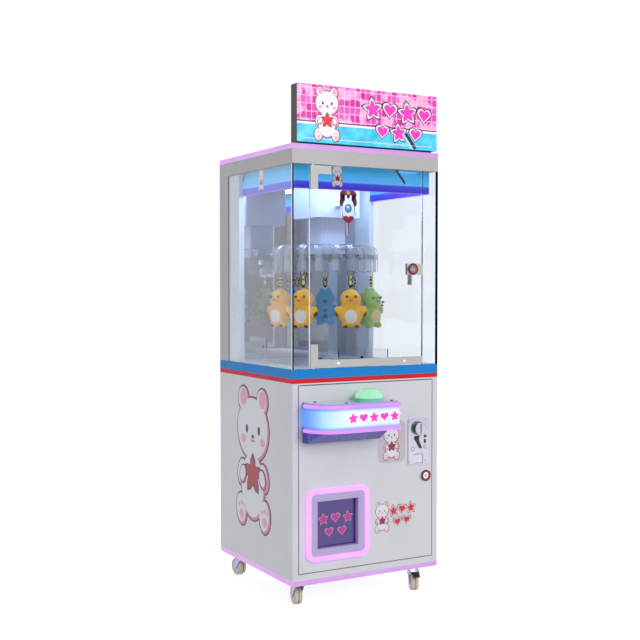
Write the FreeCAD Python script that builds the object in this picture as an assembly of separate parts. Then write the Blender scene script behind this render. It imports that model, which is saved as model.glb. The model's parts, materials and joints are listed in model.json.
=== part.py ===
import FreeCAD, Part
import math
import os

from FreeCAD import Vector

# A free-standing keychain claw machine: a steel cabinet on casters, a glazed chamber with a
# carousel of spring claws that hold plush keychains, and a light-box sign on the roof.
# Millimetres. X is across the front, -Y is the front, Z is up. The sizes below count Y from
# the middle of the cabinet; each piece is saved moved back by ORIGIN_SHIFT, so the origin is
# on the floor under the middle of the whole footprint, console included.

# ---- overall sizes -------------------------------------------------------------------
WIDTH = 460.0
DEPTH = 460.0
BODY_HEIGHT = 570.0
GLASS_HEIGHT = 537.0
FASCIA_HEIGHT = 38.0
LIGHT_HEIGHT = 13.6
LIGHT_DEPTH = 7.0
BELT_HEIGHT = 36.5
BELT_DEPTH = 12.0
SHEET = 2.0
GLASS = 6.0
RUNNING = 0.05
SEAT_GAP = 0.3

# ---- service door --------------------------------------------------------------------
FRAME_DEPTH = 18.0
FRAME_SIDE = 16.5
FRAME_SILL = 16.4
FRAME_HEAD = 4.0
DOOR_GAP = 2.5
DOOR_FLANGE = 14.0
DOOR_PIVOT_INSET_X = 3.0
DOOR_PIVOT_INSET_Y = 4.0
DOOR_PIN_RADIUS = 1.5
DOOR_BUSH = (8.0, 7.0, 20.0)

# ---- console and button --------------------------------------------------------------
CONSOLE_LEFT = 4.5
CONSOLE_WIDTH = 247.0
CONSOLE_DEPTH = 90.0
CONSOLE_CORNER = 68.0
CONSOLE_DROP = 45.0
CONSOLE_BAND = 74.0
CONSOLE_SKIRT = 30.0
CONSOLE_WALL = 3.0
SKIRT_FRONT = 0.8
SKIRT_BACK = 0.3
SKIRT_RUN = 0.9
TUBE_RADIUS = 5.0
TUBE_CLEAR = 2.0
BUTTON_OFFSET = 179.5
BUTTON_RADIUS = 35.5
BUTTON_COLLAR = 4.0
BUTTON_COLLAR_HEIGHT = 8.0
BUTTON_DOME_HEIGHT = 18.0
BUTTON_SKIRT = 8.0
BUTTON_STEM_RADIUS = 8.0
BUTTON_CUP_RADIUS = 24.85
BUTTON_CUP_DROP = 16.0
BUTTON_TRAVEL = 4.0

# ---- coin unit -----------------------------------------------------------------------
COIN_INSET = 47.0
COIN_DROP = 125.0
COIN_PLATE = (67.0, 4.0, 127.0)
COIN_INSERT_RADIUS = 18.0
COIN_INSERT_RISE = 36.0
COIN_INSERT_DEPTH = 12.0
COIN_SLOT = (3.2, 28.0)
COIN_POCKET = (30.0, 26.0)
COIN_POCKET_DEPTH = 34.0
COIN_POCKET_DROP = 48.0
COIN_FLAP_PIN = 0.8
COIN_UNIT_DEPTH = 92.0
COIN_LEVER_PIN = 3.0
COIN_LEVER_OFFSET = (6.7, 7.62)
COIN_LEVER_TIP = (9.6, 16.0, 27.2)
COIN_LEVER_HEAD = 6.4
COIN_SCREW_RADIUS = 3.5
CASH_BOX = (84.0, 78.0)
CASH_BOX_DROP = 65.0
CASH_BOX_RISE = 32.5
SHELF_DEPTH = 62.4
SHELF_RISER = 20.0

# ---- prize opening -------------------------------------------------------------------
PRIZE_INSET = 116.0
PRIZE_RISE = 123.5
PRIZE_WINDOW = 126.0
PRIZE_RING = 192.0
PRIZE_RING_WIDTH = 13.0
PRIZE_RING_DEPTH = 8.0
PRIZE_BEZEL_DEPTH = 4.8
PRIZE_CORNER = 26.0
PRIZE_WALL = 3.0
PRIZE_TUNNEL = 14.0
FLAP_THICK = 3.0
FLAP_PIN_RADIUS = 1.5
DUCT_HALF = 70.0
DUCT_DEPTH = 116.0
DUCT_WALL = 3.0
DUCT_DOOR_GAP = 6.0
DUCT_BEND_DROP = 80.0
DUCT_BEND_RISE = 104.0
DUCT_RAMP_RISE = 30.0

# ---- locks ---------------------------------------------------------------------------
LOCK_FLANGE_RADIUS = 16.5
LOCK_FLANGE = 6.0
LOCK_BODY_RADIUS = 9.0
LOCK_CORE_RADIUS = 6.0
LOCK_CAM = (12.0, 3.0)
DOOR_LOCK_INSET = 23.5
DOOR_LOCK_DROP = 97.0
CAM_OVERLAP = 5.5

# ---- glazing -------------------------------------------------------------------------
GLASS_STRIP = 51.0
GLASS_DOOR_GAP = 2.0
GLASS_DOOR_END_GAP = 3.0
GLASS_PIVOT_INSET = 9.0
GLASS_PIN_RADIUS = 3.0
SOCKET_SPARE = 4.5
FITTING = 62.0
FITTING_LEG = 22.0
FITTING_WALL = 2.5
RAIL_HEIGHT = 20.0
GLASS_LOCK_INSET = 36.0
GLASS_LOCK_RISE = 265.0
POST = (30.0, 61.0)
POST_PANEL = (16.0, 69.0)
POST_SLOTS = (6, 86.0, 37.6, 15.0)
MIRROR = 4.0
PELMET_HEIGHT = 63.0
FASCIA_DEPTH = 20.0
CEILING_DROP = 10.0
TRAY_RIM = 12.0

# ---- sign ----------------------------------------------------------------------------
SIGN_INSET = 11.0
SIGN_HEIGHT = 150.0
SIGN_DEPTH = 37.0
SIGN_PROUD = 9.0
SIGN_FACE = 4.0
SIGN_FOOT_HEIGHT = 4.0
SIGN_WALL = 3.0

# ---- carousel, claws and striker -----------------------------------------------------
MOTOR_BOX = 140.0
MOTOR_BOX_DROP = 164.0
COLUMN = 80.0
SHAFT_RADIUS = 6.0
SHAFT_IN_GEAR = 16.0
HUB = (18.0, 12.0)
DISC_RADIUS = 124.0
DISC_THICK = 6.0
COLUMN_DROP = 111.0
COLUMN_GAP = 3.0
CLAW_COUNT = 19
CLAW_CHEEK = 2.5
CLAW_HALF = 12.0
CLAW_DROP = 6.0
ARM_INNER = 60.0
ARM_GAP = 2.0
CLAW_PIVOT_REACH = 8.0
CLAW_OUTER_REACH = 26.0
JAW_THICK = 3.0
JAW_HALF = 9.0
JAW_LENGTH = 43.0
LEVER_LENGTH = 32.0
CLAW_PIN_RADIUS = 1.5
LIP = (5.0, 4.0)
ROD_RADIUS = 3.0
ROD_RISE = 23.0
ROD_GAP = 0.5
ROD_BACK = 20.0
STRIKER_BODY = (30.0, 26.0, 22.0)
STRIKER_NOSE = (6.0, 30.0)
GEAR_BOX = (80.0, 20.0)
MOTOR_RADIUS = 30.0
MOTOR_LENGTH = 66.0
POINTER = (57.0, 4.0, 128.0)
POINTER_RISE = 60.0
POINTER_INSET = 10.0
POINTER_PROFILE = ((0.035, 0.0), (0.035, 0.28), (0.2, 0.34), (0.36, 0.42), (0.36, 0.66),
                   (0.5, 0.72), (0.5, 0.86), (0.36, 0.94), (0.035, 1.0))
POINTER_ARM = (20.0, 83.0)

# ---- keychains -----------------------------------------------------------------------
RING_RADIUS = 10.0
RING_WIRE = 1.0
STRAP = (8.0, 1.5, 1.5)
STRAP_LENGTH = 28.6
TOY_HEAD = 33.0
TOY_BODY = 36.0
TOY_HEIGHT = 108.0
TOY_EAR = 10.0
EAR_PLACE = (24.75, 13.2)

# ---- deck ----------------------------------------------------------------------------
DECK_THICK = 6.0
GUARD_HEIGHT = 45.0
GUARD_THICK = 3.0
GUARD_MARGIN = 7.0
GUARD_SCREW_RADIUS = 5.0

# ---- casters -------------------------------------------------------------------------
CASTER_INSET_X = 48.0
CASTER_INSET_Y = 55.0
CASTER_TRAIL = 22.0
CASTER_HEAD = 20.0
CASTER_PLATE = (58.0, 3.0)
KING_PIN_RADIUS = 6.0
WHEEL_RADIUS = 25.0
WHEEL_WIDTH = 20.0
WHEEL_GROOVE = (3.0, 1.5)
FORK_WALL = 2.5
FORK_CROWN_RADIUS = 20.0
FORK_CROWN = 8.0
FORK_LEG = (12.0, 14.0)
AXLE_BOSS = 6.6
AXLE_RADIUS = 3.0
PEDAL_PLACE = (0.62, 1.02)
PEDAL_EAR = 3.9
PEDAL_TREAD = (22.5, 3.6, 6.6)
CASTER_TURNS = {"fl": 80.0, "fr": 250.0, "bl": 100.0, "br": 60.0}

# ---- levels and faces worked out from the sizes above --------------------------------
HALF_W = WIDTH / 2
HALF_D = DEPTH / 2
FRONT = -HALF_D
CASTER_HEIGHT = WHEEL_RADIUS * 2 + CASTER_HEAD
BOTTOM = CASTER_HEIGHT
BODY_FLOOR = BOTTOM + LIGHT_HEIGHT
BELT_TOP = BOTTOM + BODY_HEIGHT
BELT_BOTTOM = BELT_TOP - BELT_HEIGHT
FASCIA_BOTTOM = BELT_TOP + GLASS_HEIGHT
FASCIA_TOP = FASCIA_BOTTOM + FASCIA_HEIGHT
ROOF_TOP = FASCIA_TOP + LIGHT_HEIGHT
DOOR_OPEN_X = HALF_W - FRAME_SIDE
DOOR_OPEN_Z0 = BODY_FLOOR + FRAME_SILL
DOOR_OPEN_Z1 = BELT_BOTTOM - FRAME_HEAD
DOOR_X = DOOR_OPEN_X - DOOR_GAP
DOOR_Z0 = DOOR_OPEN_Z0 + DOOR_GAP
DOOR_Z1 = DOOR_OPEN_Z1 - DOOR_GAP
DOOR_PIVOT = (-DOOR_X + DOOR_PIVOT_INSET_X, FRONT + DOOR_PIVOT_INSET_Y)
DUCT_FRONT = FRONT + FRAME_DEPTH + DUCT_DOOR_GAP
CONSOLE_TOP_Z = DOOR_Z1 - CONSOLE_DROP
CONSOLE_X = DOOR_PIVOT[0] + CONSOLE_LEFT
BUTTON_X = CONSOLE_X + BUTTON_OFFSET
COIN_X = DOOR_X - COIN_INSET
COIN_Z = CONSOLE_TOP_Z - COIN_DROP
DOOR_LOCK_Z = COIN_Z - DOOR_LOCK_DROP
CASH_BOX_Z = DOOR_Z0 + CASH_BOX_RISE
CASH_BOX_TOP = DOOR_LOCK_Z - CASH_BOX_DROP
PRIZE_X = -DOOR_X + PRIZE_INSET
PRIZE_Z = DOOR_Z0 + PRIZE_RISE
DUCT_BEND_TOP = BELT_TOP - DUCT_BEND_DROP
DUCT_BEND_LOW = PRIZE_Z + DUCT_BEND_RISE
GLASS_LOCK_Z = BELT_TOP + GLASS_LOCK_RISE
MOTOR_BOX_Z = FASCIA_TOP - MOTOR_BOX_DROP
DISC_Z = MOTOR_BOX_Z - COLUMN_DROP
PIVOT_Z = DISC_Z
CLAW_PIVOT_RADIUS = DISC_RADIUS + CLAW_PIVOT_REACH
CLAW_OUTER = DISC_RADIUS + CLAW_OUTER_REACH
JAW_BOTTOM = PIVOT_Z - JAW_LENGTH
LEVER_TOP = PIVOT_Z + LEVER_LENGTH
ROD_Z = PIVOT_Z + ROD_RISE
POINTER_Z = PIVOT_Z + POINTER_RISE
POINTER_Y = POINTER_INSET - CLAW_PIVOT_RADIUS
ORIGIN_SHIFT = (CONSOLE_DEPTH - CONSOLE_WALL + TUBE_RADIUS * 2) / 2


def box(x0, x1, y0, y1, z0, z1):
    return Part.makeBox(x1 - x0, y1 - y0, z1 - z0, Vector(x0, y0, z0))


def rod(radius, start, end):
    along = Vector(*end) - Vector(*start)
    return Part.makeCylinder(radius, along.Length, Vector(*start), along)


def ring_bars(half_x, half_y, depth, z0, z1):
    """Four bars round a rectangle: front and back run through, the sides fit between them."""
    bars = []
    for side in (-1, 1):
        y_in = side * (half_y - depth)
        y_out = side * half_y
        bars.append(box(-half_x, half_x, min(y_in, y_out), max(y_in, y_out), z0, z1))
        x_in = side * (half_x - depth)
        x_out = side * half_x
        bars.append(box(min(x_in, x_out), max(x_in, x_out), depth - half_y, half_y - depth, z0, z1))
    return bars


def rounded_rect(half_x, half_z, corner, x, z, y, depth):
    """A plate in the XZ plane with round corners, from y towards the back by depth."""
    k = corner * (1 - math.sqrt(0.5))
    corners = ((1, 1), (1, -1), (-1, -1), (-1, 1))
    edges = []
    last = None
    for index, (sx, sz) in enumerate(corners):
        tip_x = sx * half_x
        tip_z = sz * half_z
        a = Vector(x + tip_x, y, z + tip_z - sz * corner)
        b = Vector(x + tip_x - sx * corner, y, z + tip_z)
        if index % 2 == 0:
            a, b = b, a
        middle = Vector(x + tip_x - sx * k, y, z + tip_z - sz * k)
        if last is not None:
            edges.append(Part.makeLine(last, a))
        else:
            first = a
        edges.append(Part.Arc(a, middle, b).toShape())
        last = b
    edges.append(Part.makeLine(last, first))
    return Part.Face(Part.Wire(edges)).extrude(Vector(0, depth, 0))


def polygon(points, along):
    wire = Part.makePolygon([Vector(*p) for p in points] + [Vector(*points[0])])
    return Part.Face(wire).extrude(Vector(*along))


def save(node, solids):
    shape = solids[0].copy() if len(solids) == 1 else Part.makeCompound(solids)
    shape.translate(Vector(0, ORIGIN_SHIFT, 0))
    shape.exportStep("parts/" + node + ".step")


def around(shape, angle):
    """A copy turned about the carousel's axis, counted from the front position."""
    copy = shape.copy()
    copy.rotate(Vector(0, 0, 0), Vector(0, 0, 1), angle)
    return copy


def placed(shape, x, y, turn):
    copy = shape.copy()
    copy.rotate(Vector(0, 0, 0), Vector(0, 0, 1), turn)
    copy.translate(Vector(x, y, 0))
    return copy


# ---- cabinet -------------------------------------------------------------------------
def cabinet_shell():
    inner_x = HALF_W - SHEET
    inner_y = HALF_D - SHEET
    frame_back = FRONT + FRAME_DEPTH
    shell = []
    for side in (-1, 1):
        x0, x1 = sorted((side * inner_x, side * HALF_W))
        shell.append(box(x0, x1, FRONT, HALF_D, BODY_FLOOR, BELT_BOTTOM))
        x0, x1 = sorted((side * DOOR_OPEN_X, side * inner_x))
        shell.append(box(x0, x1, FRONT, frame_back, BODY_FLOOR, BELT_BOTTOM))
    shell.append(box(-inner_x, inner_x, inner_y, HALF_D, BODY_FLOOR, BELT_BOTTOM))
    shell.append(box(-DOOR_OPEN_X, DOOR_OPEN_X, FRONT, frame_back, BODY_FLOOR, DOOR_OPEN_Z0))
    shell.append(box(-DOOR_OPEN_X, DOOR_OPEN_X, FRONT, frame_back, DOOR_OPEN_Z1, BELT_BOTTOM))
    return shell


def base_tray():
    """A flat tray inside the light strips, whose rim steps out under the side panels."""
    low_x = HALF_W - LIGHT_DEPTH
    low_y = HALF_D - LIGHT_DEPTH
    high_x = HALF_W - SHEET
    high_y = HALF_D - SHEET
    pocket_x = low_x - TRAY_RIM
    pocket_y = low_y - TRAY_RIM
    top = BODY_FLOOR + SHEET * 2
    low = box(-low_x, low_x, -low_y, low_y, BOTTOM, BODY_FLOOR)
    high = box(-high_x, high_x, FRONT + FRAME_DEPTH, high_y, BODY_FLOOR, top)
    pocket = box(-pocket_x, pocket_x, -pocket_y, pocket_y, BOTTOM + SHEET, top)
    return [low.fuse(high).removeSplitter().cut(pocket)]


def roof_plates():
    """The chamber's ceiling between the fascia bars, and the lid between the roof's light strips."""
    inner_x = HALF_W - FASCIA_DEPTH
    inner_y = HALF_D - FASCIA_DEPTH
    lid_x = HALF_W - LIGHT_DEPTH
    lid_y = HALF_D - LIGHT_DEPTH
    ceiling_z = FASCIA_TOP - CEILING_DROP
    ceiling = box(-inner_x, inner_x, -inner_y, inner_y, ceiling_z, ceiling_z + SHEET)
    lid = box(-lid_x, lid_x, -lid_y, lid_y, ROOF_TOP - SHEET * 2, ROOF_TOP - SHEET)
    return [ceiling, lid]


def door_pivot_pins():
    pins = []
    x, y = DOOR_PIVOT
    reach = DOOR_GAP + SHEET + DOOR_BUSH[2] / 2
    for z, sign in ((DOOR_OPEN_Z0, 1), (DOOR_OPEN_Z1, -1)):
        pins.append(rod(DOOR_PIN_RADIUS, (x, y, z), (x, y, z + sign * reach)))
    return pins


def rear_posts():
    posts = []
    for side in (-1, 1):
        x0, x1 = sorted((side * HALF_W, side * (HALF_W - POST[0])))
        posts.append(box(x0, x1, HALF_D - POST[1], HALF_D, BELT_TOP, FASCIA_BOTTOM))
    return posts


def post_panels():
    """White inner cable covers beside the rear posts, each with a row of slots in its side."""
    panels = []
    rear = HALF_D - POST[1]
    outer = HALF_W - GLASS - SEAT_GAP
    count, first, pitch, tall = POST_SLOTS
    for side in (-1, 1):
        x0, x1 = sorted((side * outer, side * (outer - POST_PANEL[0])))
        panel = box(x0, x1, rear - POST_PANEL[1], rear, BELT_TOP, FASCIA_BOTTOM)
        face = side * outer
        s0, s1 = sorted((face, face - side * SHEET))
        middle = rear - POST_PANEL[1] / 2
        for index in range(count):
            z = BELT_TOP + first + index * pitch
            panel = panel.cut(box(s0, s1, middle - SHEET, middle + SHEET, z, z + tall))
        panels.append(panel)
    return panels


def fixed_glass():
    rear = HALF_D - POST[1]
    panes = []
    for side in (-1, 1):
        x0, x1 = sorted((side * HALF_W, side * (HALF_W - GLASS)))
        panes.append(box(x0, x1, FRONT + GLASS, rear, BELT_TOP, FASCIA_BOTTOM))
        x0, x1 = sorted((side * HALF_W, side * (HALF_W - GLASS_STRIP)))
        panes.append(box(x0, x1, FRONT, FRONT + GLASS, BELT_TOP, FASCIA_BOTTOM))
    return panes


def back_wall():
    inner = HALF_W - POST[0]
    mirror_back = HALF_D - SHEET
    panel = box(-inner, inner, mirror_back, HALF_D, BELT_TOP, FASCIA_BOTTOM)
    mirror = box(-inner, inner, mirror_back - MIRROR, mirror_back, BELT_TOP, FASCIA_BOTTOM)
    return [panel], [mirror]


def pelmet():
    """Printed strips that hang behind the top of the glass on the front and both sides."""
    inner_x = HALF_W - FASCIA_DEPTH
    inner_y = FRONT + FASCIA_DEPTH
    rear = HALF_D - POST[1] - POST_PANEL[1] - SEAT_GAP
    low = FASCIA_BOTTOM - PELMET_HEIGHT
    strips = [box(-inner_x, inner_x, inner_y - SHEET, inner_y, low, FASCIA_BOTTOM)]
    for side in (-1, 1):
        x0, x1 = sorted((side * inner_x, side * (inner_x + SHEET)))
        strips.append(box(x0, x1, inner_y, rear, low, FASCIA_BOTTOM))
    return strips


def sign():
    half = HALF_W - SIGN_INSET
    front = FRONT - SIGN_PROUD
    low = ROOF_TOP + SIGN_FOOT_HEIGHT
    high = low + SIGN_HEIGHT
    face = box(-half, half, front, front + SIGN_FACE, low, high)
    body = box(-half, half, front + SIGN_FACE, front + SIGN_DEPTH, low, high)
    hollow = box(-half + SIGN_WALL, half - SIGN_WALL, front + SIGN_FACE, front + SIGN_DEPTH - SIGN_WALL,
                 low + SIGN_WALL, high - SIGN_WALL)
    foot = box(-half + SIGN_INSET, half - SIGN_INSET, FRONT + SHEET, front + SIGN_DEPTH - SIGN_WALL,
               ROOF_TOP, low)
    return [body.cut(hollow).fuse(foot).removeSplitter()], [face]


# ---- deck and prize duct -------------------------------------------------------------
def deck():
    half_x = HALF_W - BELT_DEPTH
    half_y = HALF_D - BELT_DEPTH
    plate = box(-half_x, half_x, -half_y, half_y, BELT_TOP - DECK_THICK, BELT_TOP)
    hole = box(-DUCT_HALF, DUCT_HALF, DUCT_FRONT, DUCT_FRONT + DUCT_DEPTH, BELT_TOP - DECK_THICK, BELT_TOP)
    return [plate.cut(hole)]


def deck_guard():
    outer = DUCT_HALF + GUARD_MARGIN
    back = DUCT_FRONT + DUCT_DEPTH + SHEET
    top = BELT_TOP + GUARD_HEIGHT
    screw_z = BELT_TOP + GUARD_HEIGHT / 3
    solids = [box(-outer - GUARD_THICK, outer + GUARD_THICK, back, back + GUARD_THICK, BELT_TOP, top)]
    for side in (-1, 1):
        x0, x1 = sorted((side * outer, side * (outer + GUARD_THICK)))
        solids.append(box(x0, x1, DUCT_FRONT, back, BELT_TOP, top))
        x = side * (outer - GUARD_SCREW_RADIUS * 2)
        solids.append(rod(GUARD_SCREW_RADIUS, (x, back - SHEET, screw_z), (x, back, screw_z)))
    return solids


def prize_duct():
    """A bent square chute: straight under the deck hole, aslant to the left, straight to the flap."""
    low_half = PRIZE_WINDOW / 2 + DUCT_WALL
    top = BELT_TOP - DECK_THICK
    floor_z = PRIZE_Z - PRIZE_WINDOW / 2 - DUCT_WALL
    levels = (top, DUCT_BEND_TOP, DUCT_BEND_LOW, floor_z - DUCT_WALL)
    left = (-DUCT_HALF, -DUCT_HALF, PRIZE_X - low_half, PRIZE_X - low_half)
    right = (DUCT_HALF, DUCT_HALF, PRIZE_X + low_half, PRIZE_X + low_half)
    back = DUCT_FRONT + DUCT_DEPTH
    solids = []
    for xs, side in ((left, -1), (right, 1)):
        for index in range(3):
            z_top = levels[index]
            z_low = levels[index + 1]
            x_top = xs[index]
            x_low = xs[index + 1]
            outline = [(x_top, DUCT_FRONT, z_top), (x_low, DUCT_FRONT, z_low),
                       (x_low + side * DUCT_WALL, DUCT_FRONT, z_low),
                       (x_top + side * DUCT_WALL, DUCT_FRONT, z_top)]
            solids.append(polygon(outline, (0, DUCT_DEPTH, 0)))
    outline = [(x - DUCT_WALL, back, z) for x, z in zip(left, levels)]
    outline += [(x + DUCT_WALL, back, z) for x, z in reversed(list(zip(right, levels)))]
    solids.append(polygon(outline, (0, DUCT_WALL, 0)))
    window_top = PRIZE_Z + PRIZE_WINDOW / 2 + DUCT_WALL * 2
    front_levels = (top, DUCT_BEND_TOP, DUCT_BEND_LOW, window_top)
    front = DUCT_FRONT - DUCT_WALL
    outline = [(x - DUCT_WALL, front, z) for x, z in zip(left, front_levels)]
    outline += [(x + DUCT_WALL, front, z) for x, z in reversed(list(zip(right, front_levels)))]
    solids.append(polygon(outline, (0, DUCT_WALL, 0)))
    x0 = left[-1]
    ramp = [(x0, DUCT_FRONT, floor_z - DUCT_WALL), (x0, DUCT_FRONT, floor_z),
            (x0, back, floor_z + DUCT_RAMP_RISE), (x0, back, floor_z - DUCT_WALL)]
    solids.append(polygon(ramp, (right[-1] - x0, 0, 0)))
    return solids


def duct_legs():
    """Two legs that stand the duct on the base tray."""
    low_half = PRIZE_WINDOW / 2 + DUCT_WALL
    top = PRIZE_Z - PRIZE_WINDOW / 2 - DUCT_WALL * 2
    z0 = BOTTOM + SHEET
    legs = []
    for side in (-1, 1):
        x = PRIZE_X + side * (low_half - DUCT_WALL * 3)
        legs.append(box(x - DUCT_WALL, x + DUCT_WALL, DUCT_FRONT, DUCT_FRONT + DUCT_DEPTH, z0, top))
    return legs


# ---- carousel drive ------------------------------------------------------------------
def motor_box():
    half = MOTOR_BOX / 2
    top = FASCIA_TOP - CEILING_DROP
    outer = box(-half, half, -half, half, MOTOR_BOX_Z, top)
    inner = box(-half + SHEET, half - SHEET, -half + SHEET, half - SHEET, MOTOR_BOX_Z + SHEET, top)
    shaft_hole = rod(SHAFT_RADIUS + SHEET, (0, 0, MOTOR_BOX_Z), (0, 0, MOTOR_BOX_Z + SHEET))
    return [outer.cut(inner).cut(shaft_hole)]


def column():
    half = COLUMN / 2
    low = DISC_Z + DISC_THICK + COLUMN_GAP
    outer = box(-half, half, -half, half, low, MOTOR_BOX_Z)
    inner = box(-half + SHEET, half - SHEET, -half + SHEET, half - SHEET, low + SHEET, MOTOR_BOX_Z)
    shaft_hole = rod(SHAFT_RADIUS + SHEET, (0, 0, low), (0, 0, low + SHEET))
    rod_hole = rod(STRIKER_NOSE[0], (0, -half, ROD_Z), (0, -half + SHEET, ROD_Z))
    return [outer.cut(inner).cut(shaft_hole).cut(rod_hole)]


def gear_motor():
    half = GEAR_BOX[0] / 2
    low = MOTOR_BOX_Z + SHEET
    gear = box(-half, half, -half, half, low, low + GEAR_BOX[1])
    motor = rod(MOTOR_RADIUS, (0, 0, low + GEAR_BOX[1]), (0, 0, low + GEAR_BOX[1] + MOTOR_LENGTH))
    bore = rod(SHAFT_RADIUS + RUNNING, (0, 0, low), (0, 0, low + GEAR_BOX[1]))
    return [gear.fuse(motor).cut(bore)]


def striker_body():
    wall = -COLUMN / 2 + SHEET
    width, depth, height = STRIKER_BODY
    coil = box(-width / 2, width / 2, wall, wall + depth, ROD_Z - height / 2, ROD_Z + height / 2)
    nose_end = wall - SHEET - STRIKER_NOSE[1]
    nose = rod(STRIKER_NOSE[0] - RUNNING, (0, wall, ROD_Z), (0, nose_end, ROD_Z))
    bore = rod(ROD_RADIUS + RUNNING, (0, wall + depth, ROD_Z), (0, nose_end, ROD_Z))
    return [coil.fuse(nose).cut(bore)]


def striker_rod():
    lever_face = CLAW_PIVOT_RADIUS - JAW_THICK / 2
    tip = -(lever_face - ROD_GAP - ROD_RADIUS)
    bar = rod(ROD_RADIUS, (0, -ROD_BACK, ROD_Z), (0, tip, ROD_Z))
    ball = Part.makeSphere(ROD_RADIUS, Vector(0, tip, ROD_Z))
    return [bar.fuse(ball)]


def pointer():
    """A flat printed rocket that hangs nose down on an arm in front of the motor box."""
    width, thick, height = POINTER
    y0 = POINTER_Y - thick / 2
    half = [(x * width, y0, POINTER_Z + z * height) for x, z in POINTER_PROFILE]
    mirrored = [(-x, y, z) for x, y, z in reversed(half)]
    plate = polygon(half + mirrored, (0, thick, 0))
    arm_width, arm_rise = POINTER_ARM
    arm_z = POINTER_Z + arm_rise
    arm = box(-arm_width / 2, arm_width / 2, y0 + thick, -MOTOR_BOX / 2, arm_z, arm_z + SHEET)
    return [plate, arm]


def carousel_disc():
    hub_radius, hub_drop = HUB
    shaft_top = MOTOR_BOX_Z + SHEET + SHAFT_IN_GEAR
    disc = rod(DISC_RADIUS, (0, 0, DISC_Z), (0, 0, DISC_Z + DISC_THICK))
    hub = rod(hub_radius, (0, 0, DISC_Z - hub_drop), (0, 0, DISC_Z))
    shaft = rod(SHAFT_RADIUS, (0, 0, DISC_Z - hub_drop), (0, 0, shaft_top))
    return [disc.fuse([hub, shaft]).removeSplitter()]


def claw_body():
    """An outer jaw with a lip at its foot, two cheeks at the disc, and an arm over the top.

    The arms taper to the column, where their ends stand side by side in a ring."""
    disc_top = DISC_Z + DISC_THICK
    outer = -CLAW_OUTER
    jaw_in = outer + JAW_THICK
    cheek_in = -DISC_RADIUS
    foot_in = -DISC_RADIUS + CLAW_HALF
    pieces = []
    for side in (-1, 1):
        x0, x1 = sorted((side * CLAW_HALF, side * (CLAW_HALF - CLAW_CHEEK)))
        pieces.append(box(x0, x1, jaw_in, cheek_in - SEAT_GAP, DISC_Z - CLAW_DROP, disc_top))
        pieces.append(box(x0, x1, cheek_in - SEAT_GAP, foot_in, DISC_Z - CLAW_DROP, DISC_Z))
    pieces.append(box(-CLAW_HALF, CLAW_HALF, foot_in - CLAW_CHEEK, foot_in, DISC_Z - CLAW_DROP, DISC_Z))
    arm_z = LEVER_TOP + ARM_GAP
    arm_half = ARM_INNER * math.tan(math.pi / CLAW_COUNT) - SEAT_GAP / 2
    pieces.append(box(-CLAW_HALF, CLAW_HALF, outer, jaw_in, JAW_BOTTOM, arm_z + CLAW_CHEEK))
    arm = [(-CLAW_HALF, jaw_in, arm_z), (CLAW_HALF, jaw_in, arm_z), (arm_half, -ARM_INNER, arm_z),
           (-arm_half, -ARM_INNER, arm_z)]
    pieces.append(polygon(arm, (0, 0, CLAW_CHEEK)))
    lip_out = -(lip_meeting() + SEAT_GAP)
    pieces.append(box(-LIP[0] / 2, LIP[0] / 2, jaw_in, lip_out, JAW_BOTTOM, JAW_BOTTOM + LIP[1]))
    body = pieces[0].fuse(pieces[1:]).removeSplitter()
    reach = CLAW_HALF + CLAW_CHEEK
    pivot_y = -CLAW_PIVOT_RADIUS
    return body.cut(rod(CLAW_PIN_RADIUS, (-reach, pivot_y, PIVOT_Z), (reach, pivot_y, PIVOT_Z)))


def lip_meeting():
    """The radius at which the lip of the swinging jaw ends."""
    return (CLAW_PIVOT_RADIUS + CLAW_OUTER) / 2 - SEAT_GAP / 2


def claw_jaw():
    inner = -(CLAW_PIVOT_RADIUS - JAW_THICK / 2)
    outer = -(CLAW_PIVOT_RADIUS + JAW_THICK / 2)
    plate = box(-JAW_HALF, JAW_HALF, outer, inner, JAW_BOTTOM, LEVER_TOP)
    boss = rod(CLAW_PIN_RADIUS + 2 * RUNNING + SHEET, (-JAW_HALF, -CLAW_PIVOT_RADIUS, PIVOT_Z),
               (JAW_HALF, -CLAW_PIVOT_RADIUS, PIVOT_Z))
    lip = box(-LIP[0] / 2, LIP[0] / 2, -lip_meeting(), outer, JAW_BOTTOM, JAW_BOTTOM + LIP[1])
    hole = rod(CLAW_PIN_RADIUS + RUNNING, (-JAW_HALF, -CLAW_PIVOT_RADIUS, PIVOT_Z),
               (JAW_HALF, -CLAW_PIVOT_RADIUS, PIVOT_Z))
    return plate.fuse([boss, lip]).cut(hole)


def claw_pin():
    y = -CLAW_PIVOT_RADIUS
    return rod(CLAW_PIN_RADIUS, (-CLAW_HALF, y, PIVOT_Z), (CLAW_HALF, y, PIVOT_Z))


# ---- keychains -----------------------------------------------------------------------
def ring_radius_place():
    return (CLAW_PIVOT_RADIUS + JAW_THICK / 2 + lip_meeting()) / 2


def ring_centre_z():
    hole = RING_RADIUS - RING_WIRE
    lip_half = LIP[0] / 2
    return JAW_BOTTOM + LIP[1] + SEAT_GAP - math.sqrt(hole ** 2 - lip_half ** 2)


def key_ring():
    centre = Vector(0, -ring_radius_place(), ring_centre_z())
    return Part.makeTorus(RING_RADIUS, RING_WIRE, centre, Vector(0, 1, 0))


def strap_top():
    return ring_centre_z() - RING_RADIUS + RING_WIRE + SEAT_GAP + STRAP[2]


def strap():
    """A flat loop that hangs on the foot of the ring."""
    place = -ring_radius_place()
    half = STRAP[0] / 2
    top = strap_top()
    low = top - STRAP_LENGTH
    outer = box(-STRAP[1] / 2, STRAP[1] / 2, place - half, place + half, low, top)
    inner = box(-STRAP[1] / 2, STRAP[1] / 2, place - half + STRAP[2], place + half - STRAP[2],
                low + STRAP[2], top - STRAP[2])
    return outer.cut(inner)


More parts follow.
